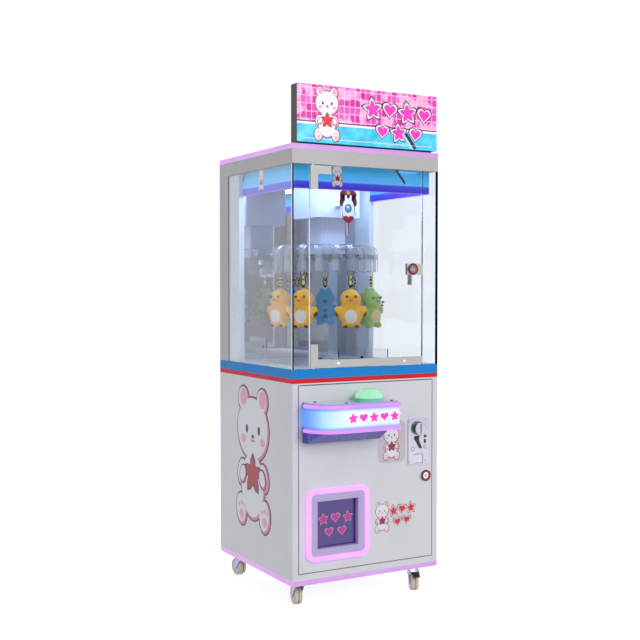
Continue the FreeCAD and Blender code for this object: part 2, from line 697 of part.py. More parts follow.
def toy(eared):
    place = -ring_radius_place()
    top = strap_top() - STRAP_LENGTH - SEAT_GAP
    head = Part.makeSphere(TOY_HEAD, Vector(0, place, top - TOY_HEAD))
    body = Part.makeSphere(TOY_BODY, Vector(0, place, top - TOY_HEIGHT + TOY_BODY))
    solid = head.fuse(body)
    if eared:
        for side in (-1, 1):
            spot = Vector(side * EAR_PLACE[0], place, top - EAR_PLACE[1])
            solid = solid.fuse(Part.makeSphere(TOY_EAR, spot))
    return solid


def keychains():
    step = 360.0 / CLAW_COUNT
    rings = []
    toys = {"toy_chicks": [], "toy_bears": []}
    kinds = ("toy_chicks", "toy_bears")
    for index in range(CLAW_COUNT // 2):
        angle = 2 * index * step
        rings.append(around(key_ring(), angle))
        rings.append(around(strap(), angle))
        kind = kinds[index % len(kinds)]
        toys[kind].append(around(toy(kind != "toy_chicks"), angle))
    return rings, toys


# ---- service door --------------------------------------------------------------------
def prize_hole_half():
    return PRIZE_WINDOW / 2 + PRIZE_WALL


def door_panel():
    z0, z1 = DOOR_Z0, DOOR_Z1
    sheet = box(-DOOR_X, DOOR_X, FRONT, FRONT + SHEET, z0, z1)
    back = FRONT + DOOR_FLANGE
    flange = box(-DOOR_X, DOOR_X, FRONT + SHEET, back, z0, z1)
    flange = flange.cut(box(-DOOR_X + SHEET, DOOR_X - SHEET, FRONT, back, z0 + SHEET, z1 - SHEET))
    door = sheet.fuse(flange).removeSplitter()
    half = prize_hole_half()
    door = door.cut(box(PRIZE_X - half, PRIZE_X + half, FRONT, back, PRIZE_Z - half, PRIZE_Z + half))
    half_x = COIN_PLATE[0] / 2 - PRIZE_WALL
    half_z = COIN_PLATE[2] / 2 - PRIZE_WALL
    coin_hole = box(COIN_X - half_x, COIN_X + half_x, FRONT, back, COIN_Z - half_z, COIN_Z + half_z)
    door = door.cut(coin_hole)
    x, y = DOOR_PIVOT
    door = door.cut(rod(DOOR_PIN_RADIUS + SEAT_GAP, (x, y, z0), (x, y, z1)))
    lock_x = DOOR_X - DOOR_LOCK_INSET
    return [door.cut(rod(LOCK_BODY_RADIUS, (lock_x, FRONT, DOOR_LOCK_Z), (lock_x, back, DOOR_LOCK_Z)))]


def door_bushes():
    x, y = DOOR_PIVOT
    x0 = -DOOR_X + SHEET
    y0 = FRONT + SHEET
    bushes = []
    for z in (DOOR_Z0 + SHEET, DOOR_Z1 - SHEET - DOOR_BUSH[2]):
        block = box(x0, x0 + DOOR_BUSH[0], y0, y0 + DOOR_BUSH[1], z, z + DOOR_BUSH[2])
        hole = rod(DOOR_PIN_RADIUS + RUNNING, (x, y, z), (x, y, z + DOOR_BUSH[2]))
        bushes.append(block.cut(hole))
    return bushes


def console_path(inset, start_y, closed):
    """The console's outline from above: a left side, a large round corner, a straight front."""
    left = CONSOLE_X + inset
    right = CONSOLE_X + CONSOLE_WIDTH - inset
    front = FRONT - CONSOLE_DEPTH + inset
    side_end = FRONT - CONSOLE_DEPTH + CONSOLE_CORNER
    corner = CONSOLE_CORNER - inset
    k = corner * (1 - math.sqrt(0.5))
    start = Vector(left, start_y, 0)
    a = Vector(left, side_end, 0)
    b = Vector(left + corner, front, 0)
    end = Vector(right, front, 0)
    edges = [Part.makeLine(start, a), Part.Arc(a, Vector(left + k, front + k, 0), b).toShape(),
             Part.makeLine(b, end)]
    if closed:
        back = Vector(right, start_y, 0)
        edges += [Part.makeLine(end, back), Part.makeLine(back, start)]
    return Part.Wire(edges)


def console_slab(inset, z0, z1):
    face = Part.Face(console_path(inset, FRONT, True))
    face.translate(Vector(0, 0, z0))
    return face.extrude(Vector(0, 0, z1 - z0))


def console_shell():
    low = CONSOLE_TOP_Z - CONSOLE_BAND
    outer = console_slab(CONSOLE_WALL, low, CONSOLE_TOP_Z)
    inner = console_slab(CONSOLE_WALL * 2, low + CONSOLE_WALL, CONSOLE_TOP_Z)
    x0 = CONSOLE_X + CONSOLE_WALL
    y1 = FRONT - CONSOLE_DEPTH * SKIRT_FRONT
    y2 = FRONT - CONSOLE_DEPTH * SKIRT_BACK
    skirt = [(x0, FRONT, low), (x0, y1, low), (x0, y2, low - CONSOLE_SKIRT), (x0, FRONT, low - CONSOLE_SKIRT)]
    wedge = polygon(skirt, (CONSOLE_WIDTH * SKIRT_RUN, 0, 0))
    wedge = wedge.common(console_slab(CONSOLE_WALL, low - CONSOLE_SKIRT, low))
    return [outer.cut(inner).fuse(wedge).removeSplitter()]


def console_face():
    z0 = CONSOLE_TOP_Z - CONSOLE_BAND + TUBE_RADIUS * 2
    z1 = CONSOLE_TOP_Z - TUBE_RADIUS * 2
    band = console_slab(0, z0, z1).cut(console_slab(CONSOLE_WALL, z0, z1))
    x1 = CONSOLE_X + CONSOLE_WIDTH
    y0 = FRONT - CONSOLE_DEPTH + CONSOLE_WALL
    return [band.cut(box(x1 - CONSOLE_WALL, x1, y0, FRONT, z0, z1))]


def console_tubes():
    """Two light tubes that start far enough forward to pass the cabinet's corner as the door opens."""
    corner = math.hypot(HALF_W + DOOR_PIVOT[0], DOOR_PIVOT_INSET_Y)
    start_y = DOOR_PIVOT[1] - corner - TUBE_CLEAR
    inset = CONSOLE_WALL - TUBE_RADIUS
    tubes = []
    for z in (CONSOLE_TOP_Z - TUBE_RADIUS, CONSOLE_TOP_Z - CONSOLE_BAND + TUBE_RADIUS):
        path = console_path(inset, start_y, False)
        path.translate(Vector(0, 0, z))
        start = Vector(CONSOLE_X + inset, start_y, z)
        circle = Part.Wire(Part.makeCircle(TUBE_RADIUS, start, Vector(0, -1, 0)))
        tube = path.makePipeShell([circle], True, False)
        tubes.append(tube.cut(console_slab(CONSOLE_WALL, z - TUBE_RADIUS, z + TUBE_RADIUS)))
    return tubes


def button_y():
    return FRONT - CONSOLE_DEPTH / 2


def console_top():
    plate = console_slab(CONSOLE_WALL, CONSOLE_TOP_Z, CONSOLE_TOP_Z + CONSOLE_WALL)
    y = button_y()
    top = CONSOLE_TOP_Z + CONSOLE_WALL
    return [plate.cut(rod(BUTTON_CUP_RADIUS, (BUTTON_X, y, CONSOLE_TOP_Z), (BUTTON_X, y, top)))]


def button_housing():
    """A collar on the console's top and a guide cup under it."""
    y = button_y()
    top = CONSOLE_TOP_Z + CONSOLE_WALL
    bore = BUTTON_RADIUS + SEAT_GAP
    collar = rod(bore + BUTTON_COLLAR, (BUTTON_X, y, top), (BUTTON_X, y, top + BUTTON_COLLAR_HEIGHT))
    collar = collar.cut(rod(bore, (BUTTON_X, y, top), (BUTTON_X, y, top + BUTTON_COLLAR_HEIGHT)))
    cup_low = CONSOLE_TOP_Z - BUTTON_CUP_DROP
    cup = rod(BUTTON_CUP_RADIUS, (BUTTON_X, y, cup_low), (BUTTON_X, y, top))
    rim = rod(bore + BUTTON_COLLAR, (BUTTON_X, y, top), (BUTTON_X, y, top + SHEET / 2))
    stem = rod(BUTTON_STEM_RADIUS + RUNNING, (BUTTON_X, y, cup_low), (BUTTON_X, y, top + SHEET))
    return [collar.fuse([cup, rim]).cut(stem).removeSplitter()]


def button_dome():
    y = button_y()
    floor_z = CONSOLE_TOP_Z + CONSOLE_WALL + SHEET / 2
    skirt_z = floor_z + BUTTON_TRAVEL + SEAT_GAP
    cap_z = skirt_z + BUTTON_SKIRT
    skirt = rod(BUTTON_RADIUS, (BUTTON_X, y, skirt_z), (BUTTON_X, y, cap_z))
    sphere_radius = (BUTTON_RADIUS ** 2 + BUTTON_DOME_HEIGHT ** 2) / (2 * BUTTON_DOME_HEIGHT)
    centre_z = cap_z + BUTTON_DOME_HEIGHT - sphere_radius
    ball = Part.makeSphere(sphere_radius, Vector(BUTTON_X, y, centre_z))
    dome_top = cap_z + BUTTON_DOME_HEIGHT
    dome = ball.common(rod(BUTTON_RADIUS, (BUTTON_X, y, cap_z), (BUTTON_X, y, dome_top)))
    stem_low = CONSOLE_TOP_Z - BUTTON_CUP_DROP
    stem = rod(BUTTON_STEM_RADIUS, (BUTTON_X, y, stem_low), (BUTTON_X, y, skirt_z))
    return [skirt.fuse([dome, stem]).removeSplitter()]


def pocket_z():
    return COIN_Z - COIN_POCKET_DROP


def coin_plate():
    width, thick, height = COIN_PLATE
    y0 = FRONT - thick
    plate = rounded_rect(width / 2, height / 2, thick, COIN_X, COIN_Z, y0, thick)
    half_x = COIN_POCKET[0] / 2
    half_z = COIN_POCKET[1] / 2
    z = pocket_z()
    plate = plate.cut(box(COIN_X - half_x, COIN_X + half_x, y0, FRONT, z - half_z, z + half_z))
    lever_x, lever_z = lever_place()
    plate = plate.cut(rod(COIN_LEVER_PIN + RUNNING, (lever_x, y0, lever_z), (lever_x, FRONT, lever_z)))
    flap_y, flap_z = coin_flap_axis()
    reach = half_x + SHEET
    flap_ends = ((COIN_X - reach, flap_y, flap_z), (COIN_X + reach, flap_y, flap_z))
    plate = plate.cut(rod(COIN_FLAP_PIN + RUNNING, *flap_ends))
    insert_z = COIN_Z + COIN_INSERT_RISE
    half_slot = COIN_SLOT[0] / 2
    slot_rise = COIN_SLOT[1] / 2
    slot = box(COIN_X - half_slot, COIN_X + half_slot, y0 - COIN_INSERT_DEPTH, FRONT,
               insert_z - slot_rise, insert_z + slot_rise)
    insert_front = y0 - COIN_INSERT_DEPTH
    insert = rod(COIN_INSERT_RADIUS, (COIN_X, y0, insert_z), (COIN_X, insert_front, insert_z))
    solids = [plate.cut(slot), insert.cut(slot)]
    for sx in (-1, 1):
        for sz in (-1, 1):
            x = COIN_X + sx * (width / 2 - COIN_SCREW_RADIUS * 2)
            z = COIN_Z + sz * (height / 2 - COIN_SCREW_RADIUS * 2)
            solids.append(rod(COIN_SCREW_RADIUS, (x, y0, z), (x, y0 - SHEET, z)))
    return solids


def lever_place():
    return COIN_X - COIN_LEVER_OFFSET[0], COIN_Z + COIN_LEVER_OFFSET[1]


def coin_lever():
    """The coin return lever: a tapered arm on a pin, lying down to the right."""
    x, z = lever_place()
    y0 = FRONT - COIN_PLATE[1] - SEAT_GAP
    thick = COIN_PLATE[1]
    tip_in, tip_out, tip_drop = COIN_LEVER_TIP
    arm = [(x - thick, y0 - thick, z), (x + thick, y0 - thick, z),
           (x + tip_out, y0 - thick, z - tip_drop), (x + tip_in, y0 - thick, z - tip_drop)]
    blade = polygon(arm, (0, thick, 0))
    head = rod(COIN_LEVER_HEAD, (x, y0, z), (x, y0 - thick, z))
    pin = rod(COIN_LEVER_PIN, (x, y0, z), (x, FRONT + SHEET, z))
    return [blade.fuse([head, pin]).removeSplitter()]


def coin_flap_axis():
    return FRONT - COIN_PLATE[1] / 2, pocket_z() + COIN_POCKET[1] / 2 - SHEET


def coin_flap():
    half_x = COIN_POCKET[0] / 2 - SEAT_GAP * 3
    low = pocket_z() - COIN_POCKET[1] / 2 + SEAT_GAP * 3
    y, z = coin_flap_axis()
    leaf = box(COIN_X - half_x, COIN_X + half_x, y - SHEET / 2, y + SHEET / 2, low, z)
    barrel = rod(SHEET / 2, (COIN_X - half_x, y, z), (COIN_X + half_x, y, z))
    reach = COIN_POCKET[0] / 2 + SHEET
    pin = rod(COIN_FLAP_PIN, (COIN_X - reach, y, z), (COIN_X + reach, y, z))
    return [leaf.fuse([barrel, pin]).removeSplitter()]


def coin_unit():
    """The coin validator behind the door, and the four blocks round the return pocket under it."""
    half_x = COIN_PLATE[0] / 2 - PRIZE_WALL - SEAT_GAP
    half_z = COIN_PLATE[2] / 2 - PRIZE_WALL - SEAT_GAP
    x0 = COIN_X - half_x
    x1 = COIN_X + half_x
    back = FRONT + COIN_UNIT_DEPTH
    pocket_x = COIN_POCKET[0] / 2 + SEAT_GAP
    pocket_half = COIN_POCKET[1] / 2 + SEAT_GAP
    pocket_top = pocket_z() + pocket_half
    pocket_low = pocket_z() - pocket_half
    low = pocket_low - SHEET
    validator = box(x0, x1, FRONT, back, pocket_top, COIN_Z + half_z)
    insert_z = COIN_Z + COIN_INSERT_RISE
    half_slot = COIN_SLOT[0] / 2
    slot_rise = COIN_SLOT[1] / 2
    channel = box(COIN_X - half_slot, COIN_X + half_slot, FRONT, FRONT + COIN_UNIT_DEPTH / 2,
                  insert_z - slot_rise, insert_z + slot_rise)
    x, z = lever_place()
    lever_room = rod(COIN_LEVER_PIN + SHEET, (x, FRONT, z), (x, FRONT + SHEET * 2, z))
    behind = FRONT + SHEET + SEAT_GAP
    pocket_back = FRONT + COIN_POCKET_DEPTH
    solids = [validator.cut(channel).cut(lever_room)]
    solids.append(box(x0, COIN_X - pocket_x, behind, back, low, pocket_top))
    solids.append(box(COIN_X + pocket_x, x1, behind, back, low, pocket_top))
    solids.append(box(COIN_X - pocket_x, COIN_X + pocket_x, pocket_back, back, low, pocket_top))
    solids.append(box(COIN_X - pocket_x, COIN_X + pocket_x, behind, pocket_back, low, pocket_low))
    return solids


def cash_place():
    x1 = DOOR_X - DOOR_LOCK_INSET + LOCK_BODY_RADIUS
    return x1 - CASH_BOX[0], x1, FRONT + DOOR_FLANGE + SHEET


def cash_box():
    """An open tray of five plates that stands on the shelf behind the door."""
    x0, x1, y0 = cash_place()
    y1 = y0 + CASH_BOX[1]
    z0 = CASH_BOX_Z
    z1 = CASH_BOX_TOP
    solids = [box(x0, x1, y0, y1, z0, z0 + SHEET)]
    solids.append(box(x0, x1, y0, y0 + SHEET, z0 + SHEET, z1))
    solids.append(box(x0, x1, y1 - SHEET, y1, z0 + SHEET, z1))
    solids.append(box(x0, x0 + SHEET, y0 + SHEET, y1 - SHEET, z0 + SHEET, z1))
    solids.append(box(x1 - SHEET, x1, y0 + SHEET, y1 - SHEET, z0 + SHEET, z1))
    return solids


def cash_shelf():
    """The bracket on the door that carries the cash box from below."""
    x0, x1, y0 = cash_place()
    z1 = CASH_BOX_Z - SEAT_GAP
    shelf = box(x0, x1, y0, y0 + SHELF_DEPTH, z1 - SHEET, z1)
    riser = box(x0, x1, FRONT + SHEET, y0, z1 - SHEET - SHELF_RISER, z1)
    return [shelf.fuse(riser).removeSplitter()]


def prize_ring():
    half = PRIZE_RING / 2
    inner = half - PRIZE_RING_WIDTH
    y0 = FRONT - PRIZE_RING_DEPTH
    outer = rounded_rect(half, half, PRIZE_CORNER, PRIZE_X, PRIZE_Z, y0, PRIZE_RING_DEPTH)
    hole = rounded_rect(inner, inner, PRIZE_CORNER - PRIZE_RING_WIDTH, PRIZE_X, PRIZE_Z, y0, PRIZE_RING_DEPTH)
    return [outer.cut(hole)]


def prize_bezel():
    """The moulded frame inside the light ring, with a tunnel through the door."""
    half = PRIZE_RING / 2 - PRIZE_RING_WIDTH
    corner = PRIZE_CORNER - PRIZE_RING_WIDTH
    y0 = FRONT - PRIZE_BEZEL_DEPTH
    flange = rounded_rect(half, half, corner, PRIZE_X, PRIZE_Z, y0, PRIZE_BEZEL_DEPTH)
    wall = prize_hole_half()
    window = PRIZE_WINDOW / 2
    y1 = FRONT + PRIZE_TUNNEL
    tunnel = box(PRIZE_X - wall, PRIZE_X + wall, FRONT, y1, PRIZE_Z - wall, PRIZE_Z + wall)
    opening = box(PRIZE_X - window, PRIZE_X + window, y0, y1, PRIZE_Z - window, PRIZE_Z + window)
    y, z = flap_axis()
    pins = rod(FLAP_PIN_RADIUS + RUNNING, (PRIZE_X - wall, y, z), (PRIZE_X + wall, y, z))
    return [flange.fuse(tunnel).cut(opening).cut(pins).removeSplitter()]


def flap_axis():
    y = FRONT + PRIZE_TUNNEL - FLAP_THICK
    z = PRIZE_Z + PRIZE_WINDOW / 2 - FLAP_THICK
    return y, z


def prize_flap():
    y, z = flap_axis()
    half = PRIZE_WINDOW / 2 - SEAT_GAP * 3
    low = PRIZE_Z - PRIZE_WINDOW / 2 + SEAT_GAP * 3
    leaf = box(PRIZE_X - half, PRIZE_X + half, y - FLAP_THICK / 2, y + FLAP_THICK / 2, low, z)
    barrel = rod(FLAP_THICK / 2, (PRIZE_X - half, y, z), (PRIZE_X + half, y, z))
    reach = PRIZE_WINDOW / 2 + PRIZE_WALL
    pin = rod(FLAP_PIN_RADIUS, (PRIZE_X - reach, y, z), (PRIZE_X + reach, y, z))
    return [leaf.fuse([barrel, pin]).removeSplitter()]


# ---- locks ---------------------------------------------------------------------------
def lock_barrel(x, z, face, body_end):
    flange = rod(LOCK_FLANGE_RADIUS, (x, face, z), (x, face - LOCK_FLANGE, z))
    body = rod(LOCK_BODY_RADIUS, (x, face, z), (x, body_end, z))
    core = rod(LOCK_CORE_RADIUS + RUNNING, (x, face - LOCK_FLANGE, z), (x, body_end, z))
    return flange.fuse(body).cut(core).removeSplitter()


def lock_cam(x, z, face, body_end, length):
    """The key plug and its cam, which points down while the lock is open."""
    key_face = face - LOCK_FLANGE - SHEET / 2
    plug = rod(LOCK_CORE_RADIUS, (x, key_face, z), (x, body_end + SEAT_GAP, z))
    keyway = box(x - SHEET / 2, x + SHEET / 2, key_face, key_face + SHEET * 2, z - SHEET * 2, z + SHEET * 2)
    width, thick = LOCK_CAM
    y0 = body_end + SEAT_GAP
    cam = box(x - width / 2, x + width / 2, y0, y0 + thick, z - length, z + width / 2)
    return plug.fuse(cam).cut(keyway).removeSplitter()


def door_lock():
    x = DOOR_X - DOOR_LOCK_INSET
    end = FRONT + FRAME_DEPTH + SEAT_GAP
    length = DOOR_OPEN_X - x + CAM_OVERLAP
    return [lock_barrel(x, DOOR_LOCK_Z, FRONT, end)], [lock_cam(x, DOOR_LOCK_Z, FRONT, end, length)]


def glass_door_edges():
    x = HALF_W - GLASS_STRIP - GLASS_DOOR_GAP
    return -x, x, BELT_TOP + GLASS_DOOR_END_GAP, FASCIA_BOTTOM - GLASS_DOOR_END_GAP


def glass_lock():
    x0, x1, z0, z1 = glass_door_edges()
    x = x1 - GLASS_LOCK_INSET
    end = FRONT + GLASS + FITTING_WALL
    length = GLASS_LOCK_INSET + GLASS_DOOR_GAP + CAM_OVERLAP
    barrel = lock_barrel(x, GLASS_LOCK_Z, FRONT - FITTING_WALL, end)
    return [barrel], [lock_cam(x, GLASS_LOCK_Z, FRONT - FITTING_WALL, end, length)]


# ---- glass door ----------------------------------------------------------------------
def glass_pane():
    x0, x1, z0, z1 = glass_door_edges()
    pane = box(x0, x1, FRONT, FRONT + GLASS, z0, z1)
    x = x1 - GLASS_LOCK_INSET
    hole = rod(LOCK_BODY_RADIUS, (x, FRONT, GLASS_LOCK_Z), (x, FRONT + GLASS, GLASS_LOCK_Z))
    pane = pane.cut(hole)
    notch = GLASS_PIVOT_INSET * 2
    for z, sign in ((z0, 1), (z1, -1)):
        a, b = sorted((z, z + sign * notch))
        pane = pane.cut(box(x0, x0 + notch, FRONT, FRONT + GLASS, a, b))
    return [pane]


def glass_fittings():
    """Corner clamps with pivot sockets, a foot rail, and the lock's clamp plate."""
    x0, x1, z0, z1 = glass_door_edges()
    y0 = FRONT - FITTING_WALL
    y1 = FRONT + GLASS + FITTING_WALL
    pane = glass_pane()[0]
    pin_x = x0 + GLASS_PIVOT_INSET
    axis_y = FRONT + GLASS / 2
    solids = []
    for z, sign in ((z0, 1), (z1, -1)):
        a, b = sorted((z, z + sign * FITTING))
        c, d = sorted((z, z + sign * FITTING_LEG))
        leg = box(x0, x0 + FITTING_LEG, y0, y1, a, b)
        arm = box(x0, x0 + FITTING, y0, y1, c, d)
        socket_end = z + sign * (GLASS_PIVOT_INSET + SOCKET_SPARE)
        socket = rod(GLASS_PIN_RADIUS + RUNNING, (pin_x, axis_y, z), (pin_x, axis_y, socket_end))
        solids.append(leg.fuse(arm).removeSplitter().cut(pane).cut(socket))
    rail = box(x0 + FITTING + SEAT_GAP, x1, y0, y1, z0, z0 + RAIL_HEIGHT)
    solids.append(rail.cut(pane))
    lock_x = x1 - GLASS_LOCK_INSET
    hole = rod(LOCK_BODY_RADIUS, (lock_x, y0, GLASS_LOCK_Z), (lock_x, y1, GLASS_LOCK_Z))
    half = LOCK_FLANGE_RADIUS - SHEET / 2
    for ya, yb in ((y0, FRONT), (FRONT + GLASS, y1)):
        plate = box(lock_x - half, x1, ya, yb, GLASS_LOCK_Z - half, GLASS_LOCK_Z + half)
        solids.append(plate.cut(hole))
    return solids


def glass_pivot_pins():
    x0, x1, z0, z1 = glass_door_edges()
    x = x0 + GLASS_PIVOT_INSET
    y = FRONT + GLASS / 2
    reach = GLASS_DOOR_END_GAP + GLASS_PIVOT_INSET
    low = rod(GLASS_PIN_RADIUS, (x, y, BELT_TOP), (x, y, BELT_TOP + reach))
    high = rod(GLASS_PIN_RADIUS, (x, y, FASCIA_BOTTOM), (x, y, FASCIA_BOTTOM - reach))
    return [low, high]


# ---- casters -------------------------------------------------------------------------
def caster_places():
    x = HALF_W - CASTER_INSET_X
    y = HALF_D - CASTER_INSET_Y
    return {"fl": (-x, -y), "fr": (x, -y), "bl": (-x, y), "br": (x, y)}


def caster_plate():
    half = CASTER_PLATE[0] / 2
    low = CASTER_HEIGHT - CASTER_PLATE[1]
    plate = box(-half, half, -half, half, low, CASTER_HEIGHT)
    crown_low = low - FORK_CROWN - SEAT_GAP
    pin = rod(KING_PIN_RADIUS, (0, 0, crown_low - SEAT_GAP), (0, 0, low))
    head = rod(KING_PIN_RADIUS + SHEET, (0, 0, crown_low - SEAT_GAP - SHEET), (0, 0, crown_low - SEAT_GAP))
    return plate.fuse([pin, head]).removeSplitter()


def fork_half_gap():
    return WHEEL_WIDTH / 2 + SHEET / 2


def caster_fork():
    """A pressed fork: a crown round the king pin, two legs aslant to the axle, and the axle."""
    top = CASTER_HEIGHT - CASTER_PLATE[1] - SEAT_GAP
    low = top - FORK_CROWN
    crown = rod(FORK_CROWN_RADIUS, (0, 0, low), (0, 0, top))
    crown = crown.cut(rod(KING_PIN_RADIUS + RUNNING, (0, 0, low), (0, 0, top)))
    inner = fork_half_gap()
    back, front = FORK_LEG
    legs = []
    for side in (-1, 1):
        y0 = min(side * inner, side * (inner + FORK_WALL))
        outline = [(-back, y0, low + SHEET), (front, y0, low + SHEET),
                   (CASTER_TRAIL + AXLE_BOSS, y0, WHEEL_RADIUS), (CASTER_TRAIL, y0, WHEEL_RADIUS - AXLE_BOSS),
                   (CASTER_TRAIL - AXLE_BOSS, y0, WHEEL_RADIUS)]
        legs.append(polygon(outline, (0, FORK_WALL, 0)))
    reach = inner + FORK_WALL
    axle = rod(AXLE_RADIUS, (CASTER_TRAIL, -reach, WHEEL_RADIUS), (CASTER_TRAIL, reach, WHEEL_RADIUS))
    return crown.fuse(legs + [axle]).removeSplitter()


def caster_wheel():
    half = WHEEL_WIDTH / 2
    x = CASTER_TRAIL
    z = WHEEL_RADIUS
    wheel = rod(WHEEL_RADIUS, (x, -half, z), (x, half, z))
    width, depth = WHEEL_GROOVE
    groove = rod(WHEEL_RADIUS + depth, (x, -width / 2, z), (x, width / 2, z))
    groove = groove.cut(rod(WHEEL_RADIUS - depth, (x, -width / 2, z), (x, width / 2, z)))
    bore = rod(AXLE_RADIUS + RUNNING, (x, -half, z), (x, half, z))
    edges = [e for e in wheel.Edges if e.Closed]
    return wheel.makeFillet(SHEET, edges).cut(groove).cut(bore)


def pedal_axis():
    """The pedal's pin, past the wheel's top; its place is counted in wheel radii from the axle."""
    x = CASTER_TRAIL + WHEEL_RADIUS * PEDAL_PLACE[0]
    z = WHEEL_RADIUS + WHEEL_RADIUS * PEDAL_PLACE[1]
    return x, z


def brake_bracket():
    """Two ears that carry the brake pedal's pin over the wheel."""
    x, z = pedal_axis()
    inner = fork_half_gap()
    ears = []
    low = CASTER_HEIGHT - CASTER_PLATE[1] - SEAT_GAP - FORK_CROWN
    for side in (-1, 1):
        y0 = min(side * inner, side * (inner + FORK_WALL))
        outline = [(0, y0, low + SHEET), (0, y0, low - SHEET * 2), (x, y0, z - PEDAL_EAR),
                   (x + PEDAL_EAR, y0, z), (x, y0, z + PEDAL_EAR), (FORK_LEG[1], y0, low + SHEET)]
        ears.append(polygon(outline, (0, FORK_WALL, 0)))
    hole_reach = inner + FORK_WALL
    hole = rod(AXLE_RADIUS / 2 + RUNNING, (x, -hole_reach, z), (x, hole_reach, z))
    return ears, hole


def brake_pedal():
    x, z = pedal_axis()
    half = fork_half_gap() - SHEET / 2
    reach = fork_half_gap() + FORK_WALL
    barrel = rod(AXLE_RADIUS, (x, -half, z), (x, half, z))
    pin = rod(AXLE_RADIUS / 2, (x, -reach, z), (x, reach, z))
    length, drop, thick_drop = PEDAL_TREAD
    tread = [(x, -half, z + AXLE_RADIUS), (x + length, -half, z - drop),
             (x + length, -half, z - thick_drop), (x, -half, z - AXLE_RADIUS)]
    return barrel.fuse([pin, polygon(tread, (0, half * 2, 0))]).removeSplitter()


def casters():
    plates = []
    for corner, (x, y) in caster_places().items():
        turn = CASTER_TURNS[corner]
        plates.append(placed(caster_plate(), x, y, 0))
        fork = caster_fork()
        if corner in ("fl", "fr"):
            ears, hole = brake_bracket()
            fork = fork.fuse(ears).cut(hole).removeSplitter()
            save("brake_pedal_" + corner, [placed(brake_pedal(), x, y, turn)])
        save("caster_fork_" + corner, [placed(fork, x, y, turn)])
        save("caster_wheel_" + corner, [placed(caster_wheel(), x, y, turn)])
    save("caster_plates", plates)


def main():
    os.makedirs("parts", exist_ok=True)
    save("cabinet_shell", cabinet_shell() + base_tray())
    base_light = ring_bars(HALF_W, HALF_D, LIGHT_DEPTH, BOTTOM, BODY_FLOOR)
    roof_light = ring_bars(HALF_W, HALF_D, LIGHT_DEPTH, FASCIA_TOP, ROOF_TOP)
    save("light_strips", base_light + roof_light)
    save("belt_band", ring_bars(HALF_W, HALF_D, BELT_DEPTH, BELT_BOTTOM, BELT_TOP))
    save("fascia", ring_bars(HALF_W, HALF_D, FASCIA_DEPTH, FASCIA_BOTTOM, FASCIA_TOP) + roof_plates())
    save("pivot_pins", door_pivot_pins() + glass_pivot_pins())
    back_panel, mirror = back_wall()
    save("rear_frame", rear_posts() + back_panel)
    save("post_panels", post_panels())
    save("fixed_glass", fixed_glass())
    save("mirror", mirror)
    save("pelmet", pelmet())
    sign_box, sign_face = sign()
    save("sign_box", sign_box)
    save("sign_face", sign_face)
    save("deck", deck())
    save("deck_guard", deck_guard())
    save("prize_duct", prize_duct() + duct_legs())
    save("motor_housing", motor_box() + column())
    save("drive_units", gear_motor() + striker_body())
    save("striker_rod", striker_rod())
    save("pointer", pointer())
    save("carousel_disc", carousel_disc())
    step = 360.0 / CLAW_COUNT
    save("claw_bodies", [around(claw_body(), n * step) for n in range(CLAW_COUNT)])
    save("claw_jaws", [around(claw_jaw(), n * step) for n in range(1, CLAW_COUNT)])
    save("front_jaw", [claw_jaw()])
    save("claw_pins", [around(claw_pin(), n * step) for n in range(CLAW_COUNT)])
    rings, toys = keychains()
    save("key_rings", rings)
    for node, solids in toys.items():
        save(node, solids)
    save("door_panel", door_panel())
    save("door_brackets", door_bushes() + cash_shelf())
    save("console_shell", console_shell())
    save("console_face", console_face())
    save("console_tubes", console_tubes())
    save("console_top", console_top())
    save("button_housing", button_housing())
    save("button_dome", button_dome())
    save("coin_plate", coin_plate())
    save("coin_lever", coin_lever())
    save("coin_flap", coin_flap())
    save("coin_unit", coin_unit())
    save("cash_box", cash_box())
    save("prize_ring", prize_ring())
    save("prize_bezel", prize_bezel())
    save("prize_flap", prize_flap())
    barrel, cam = door_lock()
    save("door_lock_barrel", barrel)
    save("door_lock_cam", cam)
    barrel, cam = glass_lock()
    save("glass_lock_barrel", barrel)
    save("glass_lock_cam", cam)
    save("glass_pane", glass_pane())
    save("glass_fittings", glass_fittings())
    casters()


main()
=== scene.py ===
import json
import math

import bmesh
import bpy
from mathutils import Matrix, Vector, noise


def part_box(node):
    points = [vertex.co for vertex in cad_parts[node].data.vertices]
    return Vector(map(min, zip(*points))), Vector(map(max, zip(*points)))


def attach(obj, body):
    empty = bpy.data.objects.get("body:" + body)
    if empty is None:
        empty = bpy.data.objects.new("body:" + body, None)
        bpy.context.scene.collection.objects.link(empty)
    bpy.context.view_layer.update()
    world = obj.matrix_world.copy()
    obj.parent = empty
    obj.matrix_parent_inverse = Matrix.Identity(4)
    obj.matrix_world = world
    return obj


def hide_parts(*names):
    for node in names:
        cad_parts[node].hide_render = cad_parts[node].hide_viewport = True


# The looks of a keychain claw machine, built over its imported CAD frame. Metres, in the frame's
# axes: X across the front, -Y the front, Z up. Every size is taken from the CAD nodes' boxes
# or counted in millimetres through MM.

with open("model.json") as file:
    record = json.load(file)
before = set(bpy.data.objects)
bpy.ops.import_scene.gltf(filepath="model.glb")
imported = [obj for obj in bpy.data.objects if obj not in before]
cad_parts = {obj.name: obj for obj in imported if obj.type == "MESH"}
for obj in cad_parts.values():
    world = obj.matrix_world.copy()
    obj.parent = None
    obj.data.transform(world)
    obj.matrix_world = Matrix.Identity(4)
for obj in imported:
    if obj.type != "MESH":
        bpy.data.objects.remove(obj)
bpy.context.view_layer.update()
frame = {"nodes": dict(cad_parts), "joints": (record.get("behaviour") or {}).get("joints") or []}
nodes = frame["nodes"]

